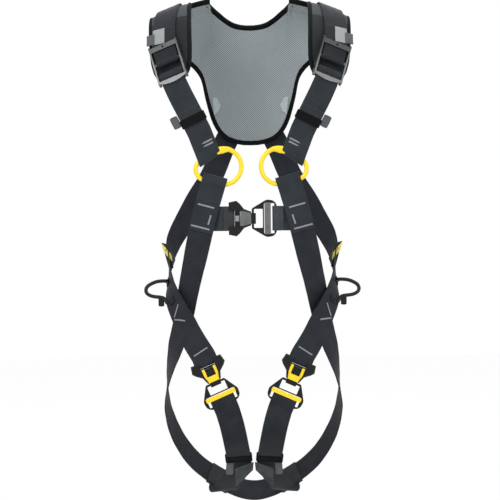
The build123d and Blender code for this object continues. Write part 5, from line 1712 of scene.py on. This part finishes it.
def area_lamp(name, place, target, size, power):
    """Soft square lamp that looks at a point."""
    data = bpy.data.lights.new(name, "AREA")
    data.size = size
    data.energy = power
    lamp = bpy.data.objects.new(name, data)
    lamp.location = place
    lamp.rotation_euler = (Vector(target) - Vector(place)).to_track_quat("-Z", "Y").to_euler()
    bpy.context.scene.collection.objects.link(lamp)


# sizes of the stage in metres, its lamps' powers in watts, and the lens in millimetres
FLOOR_Z = -0.975
MIDDLE = (0.0, 0.0, -0.45)
LAMPS = {
    "key": ((-1.6, -2.6, 1.3), MIDDLE, 1.6, 48.0),
    "fill": ((2.2, -2.2, 0.2), MIDDLE, 2.0, 26.0),
    "top": ((0.3, 0.4, 2.2), MIDDLE, 1.6, 30.0),
    "rear": ((0.0, 2.6, 0.9), MIDDLE, 1.6, 22.0),
}
WORLD_STRENGTH = 0.55  # on the object; the camera and reflections see white
EYE = (-0.0038, -3.2, -0.4636)
ROLL = math.radians(0.6)
LENS = 121.26
SENSOR = 36.0


def build_stage():
    """Pale floor and backdrop, soft lamps, plain world, and the camera level with the middle of the harness."""
    pale = (0.86, 0.86, 0.86)
    floor = white_for_camera("stage_floor", pale, 0.965)
    plane_object("floor", [(-6, -6, FLOOR_Z), (6, -6, FLOOR_Z), (6, 5, FLOOR_Z), (-6, 5, FLOOR_Z)], floor)
    back = white_for_camera("stage_backdrop", pale, 1.0)
    plane_object("backdrop", [(-6, 4.9, FLOOR_Z), (6, 4.9, FLOOR_Z), (6, 4.9, 5), (-6, 4.9, 5)], back)
    for name, lamp in LAMPS.items():
        area_lamp(name, *lamp)
    world = bpy.data.worlds.new("studio")
    bpy.context.scene.world = world
    world.use_nodes = True
    tree = world.node_tree
    background = tree.nodes["Background"]
    background.inputs["Color"].default_value = (1.0, 1.0, 1.0, 1.0)
    level = tree.nodes.new("ShaderNodeMapRange")
    tree.links.new(seen_rays(tree, 1.0), level.inputs["Value"])
    level.inputs["To Min"].default_value = WORLD_STRENGTH
    level.inputs["To Max"].default_value = 1.0
    tree.links.new(level.outputs[0], background.inputs["Strength"])
    data = bpy.data.cameras.new("camera")
    data.lens = LENS
    data.sensor_width = SENSOR
    data.clip_end = 60.0
    camera = bpy.data.objects.new("camera", data)
    camera.location = EYE
    camera.rotation_euler = (math.pi / 2, ROLL, 0.0)
    bpy.context.scene.collection.objects.link(camera)
    bpy.context.scene.camera = camera
    bpy.context.scene.view_settings.view_transform = "Standard"


# -------- settings
def shade(red, green, blue):
    """Linear colour from the eight-bit display values of a swatch."""
    parts = np.array((red, green, blue)) / 255.0
    return tuple(float(c) for c in np.where(parts <= 0.04045, parts / 12.92, ((parts + 0.055) / 1.055) ** 2.4))


def length_property(name, description, default):
    """Length in metres, as the sidebar shows it."""
    return bpy.props.FloatProperty(name=name, description=description, default=default, unit="LENGTH", precision=4)


def colour_property(name, description, swatch):
    """Colour of one finish."""
    return bpy.props.FloatVectorProperty(name=name, description=description, default=shade(*swatch),
                                         subtype="COLOR", size=3, min=0.0, max=1.0)


class HarnessSizes(bpy.types.PropertyGroup):
    """Sizes of the mesh and of the metal's edges."""

    mesh_pitch: length_property("Mesh pitch", "Distance between the holes of the padding mesh", 0.0040)
    metal_bevel: length_property("Metal bevel", "Rounding of the buckles' edges", 0.0005)


class HarnessColours(bpy.types.PropertyGroup):
    """Colours of the fabrics, threads and metal."""

    webbing: colour_property("Webbing", "Back, hip and sub-pelvic straps", (34, 37, 43))
    shoulder_webbing: colour_property("Shoulder webbing", "Strap over the shoulder", (36, 39, 43))
    front_webbing: colour_property("Front webbing", "Front straps and their folds", (40, 45, 50))
    chest_webbing: colour_property("Chest webbing", "Belt across the chest", (54, 58, 61))
    leg_webbing: colour_property("Leg webbing", "Straps round the thighs", (30, 33, 37))
    mesh: colour_property("Panel mesh", "Mesh of the back panel", (150, 158, 161))
    pad_mesh: colour_property("Shoulder mesh", "Mesh on the shoulder pads", (72, 76, 78))
    pad_fabric: colour_property("Pad fabric", "Plain faces of the pads", (38, 41, 44))
    binding: colour_property("Binding", "Tape round the panel's border", (13, 14, 16))
    elastic: colour_property("Elastic", "Bands that keep the strap tails", (16, 17, 19))
    sleeve: colour_property("Sleeve", "Sleeves on the sub-pelvic strap", (45, 50, 52))
    label: colour_property("Label", "Blank film of the labels", (150, 154, 155))
    tab: colour_property("Tabs", "Grey tabs of the keepers and labels", (86, 88, 91))
    thread: colour_property("Tack thread", "Grey bar tacks", (128, 133, 136))
    dark_thread: colour_property("Dark thread", "Running stitches", (52, 56, 60))
    gold_thread: colour_property("Gold thread", "Wear-marker stripes", (232, 216, 98))
    yellow: colour_property("Yellow", "Rings, levers and bars", (252, 214, 22))
    black_metal: colour_property("Black metal", "Latch bodies and frames", (8, 8, 9))
    black_plastic: colour_property("Black plastic", "Dorsal plate and leg buttons", (24, 25, 27))
    light_plastic: colour_property("Light plastic", "Chest button", (150, 153, 155))
    tube: colour_property("Loop tube", "Cover of the gear loops", (28, 29, 31))
    alloy: colour_property("Alloy", "Bare light metal", (112, 115, 114))
    steel: colour_property("Steel", "Dorsal ring", (168, 170, 172))
    dark_steel: colour_property("Dark steel", "Springs, pins and slider bars", (52, 54, 56))
    tail_end: colour_property("Strap end", "Sewn ends of the leg straps", (72, 77, 80))
    pad_edge: colour_property("Pad edge", "Border tape of the shoulder pads", (22, 24, 27))


# -------- operators
class HARNESS_OT_stage(bpy.types.Operator):
    """Build the floor, lamps and camera"""

    bl_idname = "harness.stage"
    bl_label = "Stage"

    def execute(self, context):
        build_stage()
        return {"FINISHED"}


class HARNESS_OT_hardware(bpy.types.Operator):
    """Finish the rings, buckles, plate, springs and loops"""

    bl_idname = "harness.hardware"
    bl_label = "Hardware"

    def execute(self, context):
        dress_hardware()
        return {"FINISHED"}


class HARNESS_OT_back_panel(bpy.types.Operator):
    """Build the crowned mesh back panel"""

    bl_idname = "harness.back_panel"
    bl_label = "Back panel"

    def execute(self, context):
        build_back_panel(finish("mesh_grey"), finish("mesh_dark"), finish("mesh_pale"))
        return {"FINISHED"}


class HARNESS_OT_bindings(bpy.types.Operator):
    """Build the tape round the back panel"""

    bl_idname = "harness.bindings"
    bl_label = "Panel bindings"

    def execute(self, context):
        build_panel_bindings(finish("binding"))
        return {"FINISHED"}


class HARNESS_OT_shoulder_pads(bpy.types.Operator):
    """Build both shoulder pads and their borders"""

    bl_idname = "harness.shoulder_pads"
    bl_label = "Shoulder pads"

    def execute(self, context):
        for side, label in SIDES:
            build_shoulder_pad(side, label, finish("pad_fabric"), finish("mesh_dark"), finish("mesh_dark"),
                               finish("pad_edge"))
        return {"FINISHED"}


class HARNESS_OT_shoulder_straps(bpy.types.Operator):
    """Build the straps over the shoulders, with their labels"""

    bl_idname = "harness.shoulder_straps"
    bl_label = "Shoulder straps"

    def execute(self, context):
        for side, label in SIDES:
            line = build_shoulder_strap(side, label, finish("strap_shoulder"))
            build_labels(side, label, line, finish("label_film"), finish("strap_tab"), finish("grey_tab"))
        return {"FINISHED"}


class HARNESS_OT_front_straps(bpy.types.Operator):
    """Build the front straps from the adjusters to the rings"""

    bl_idname = "harness.front_straps"
    bl_label = "Front straps"

    def execute(self, context):
        for side, label in SIDES:
            stitches = build_front_strap(side, label, finish("strap_front"), finish("thread_grey"))
            thread_object(f"tail_seams_{label}", stitches, 0.3, finish("thread_dark"))
        return {"FINISHED"}


class HARNESS_OT_seat_strap(bpy.types.Operator):
    """Build the sub-pelvic strap and its folds round the rings"""

    bl_idname = "harness.seat_strap"
    bl_label = "Sub-pelvic strap"

    def execute(self, context):
        build_seat_strap(finish("strap_black"))
        for side, label in SIDES:
            build_lower_fold(side, label, finish("strap_front"), finish("thread_grey"))
        return {"FINISHED"}


class HARNESS_OT_chest_belt(bpy.types.Operator):
    """Build the belt on each side of the chest buckle"""

    bl_idname = "harness.chest_belt"
    bl_label = "Chest belt"

    def execute(self, context):
        build_chest_belt(finish("strap_chest"))
        return {"FINISHED"}


class HARNESS_OT_back_straps(bpy.types.Operator):
    """Build the straps from the dorsal plate to the hips"""

    bl_idname = "harness.back_straps"
    bl_label = "Back straps"

    def execute(self, context):
        for side, label in SIDES:
            build_back_strap(side, label, finish("strap_black"))
        return {"FINISHED"}


class HARNESS_OT_hip_straps(bpy.types.Operator):
    """Build the straps from the hips to the leg latches"""

    bl_idname = "harness.hip_straps"
    bl_label = "Hip straps"

    def execute(self, context):
        for side, label in SIDES:
            build_hip_strap(side, label, finish("strap_black"), finish("strap_tab"), finish("thread_grey"),
                            finish("thread_gold"))
        return {"FINISHED"}


class HARNESS_OT_leg_straps(bpy.types.Operator):
    """Build the thigh straps, their tails and sleeves"""

    bl_idname = "harness.leg_straps"
    bl_label = "Leg straps"

    def execute(self, context):
        for side, label in SIDES:
            build_leg_strap(side, label, finish("strap_leg"), finish("sleeve"), finish("tail_end"),
                            finish("thread_dark"))
        return {"FINISHED"}


class HARNESS_OT_loops_and_collars(bpy.types.Operator):
    """Build the gear loops and the flattened stretches of the sternal rings"""

    bl_idname = "harness.loops_and_collars"
    bl_label = "Loops and ring collars"

    def execute(self, context):
        for side, label in SIDES:
            build_ring_collar(side, label, finish("yellow_lacquer"))
            build_gear_loop(side, label, finish("tube"), finish("black_moulding"))
        return {"FINISHED"}


class HARNESS_OT_keepers(bpy.types.Operator):
    """Build the elastic keepers of the front and leg straps"""

    bl_idname = "harness.keepers"
    bl_label = "Keepers"

    def execute(self, context):
        for side, label in SIDES:
            for name in KEEPERS:
                build_keeper(name, side, label, finish("elastic"), finish("grey_tab"))
        return {"FINISHED"}


class HARNESS_PT_sidebar(bpy.types.Panel):
    """Sizes, colours and pieces of the harness"""

    bl_label = "Harness"
    bl_idname = "HARNESS_PT_sidebar"
    bl_space_type = "VIEW_3D"
    bl_region_type = "UI"
    bl_category = "Harness"

    def draw(self, context):
        for group in (context.scene.harness_sizes, context.scene.harness_colours):
            box = self.layout.box()
            for name in group.__annotations__:
                box.prop(group, name)
        for operator in OPERATORS:
            self.layout.operator(operator.bl_idname)


OPERATORS = (
    HARNESS_OT_stage,
    HARNESS_OT_hardware,
    HARNESS_OT_back_panel,
    HARNESS_OT_bindings,
    HARNESS_OT_shoulder_pads,
    HARNESS_OT_shoulder_straps,
    HARNESS_OT_front_straps,
    HARNESS_OT_seat_strap,
    HARNESS_OT_chest_belt,
    HARNESS_OT_back_straps,
    HARNESS_OT_hip_straps,
    HARNESS_OT_leg_straps,
    HARNESS_OT_keepers,
    HARNESS_OT_loops_and_collars,
)
CLASSES = (HarnessSizes, HarnessColours, *OPERATORS, HARNESS_PT_sidebar)


def register():
    """Register the classes and the scene's settings."""
    for cls in CLASSES:
        bpy.utils.register_class(cls)
    bpy.types.Scene.harness_sizes = bpy.props.PointerProperty(type=HarnessSizes)
    bpy.types.Scene.harness_colours = bpy.props.PointerProperty(type=HarnessColours)


def unregister():
    """Take the settings and classes away again."""
    del bpy.types.Scene.harness_sizes
    del bpy.types.Scene.harness_colours
    for cls in reversed(CLASSES):
        bpy.utils.unregister_class(cls)


def main():
    """Register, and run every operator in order."""
    register()
    for operator in OPERATORS:
        name = operator.bl_idname.split(".")[1]
        getattr(bpy.ops.harness, name)()
    bpy.context.view_layer.update()
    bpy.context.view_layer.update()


if __name__ == "__main__":
    main()
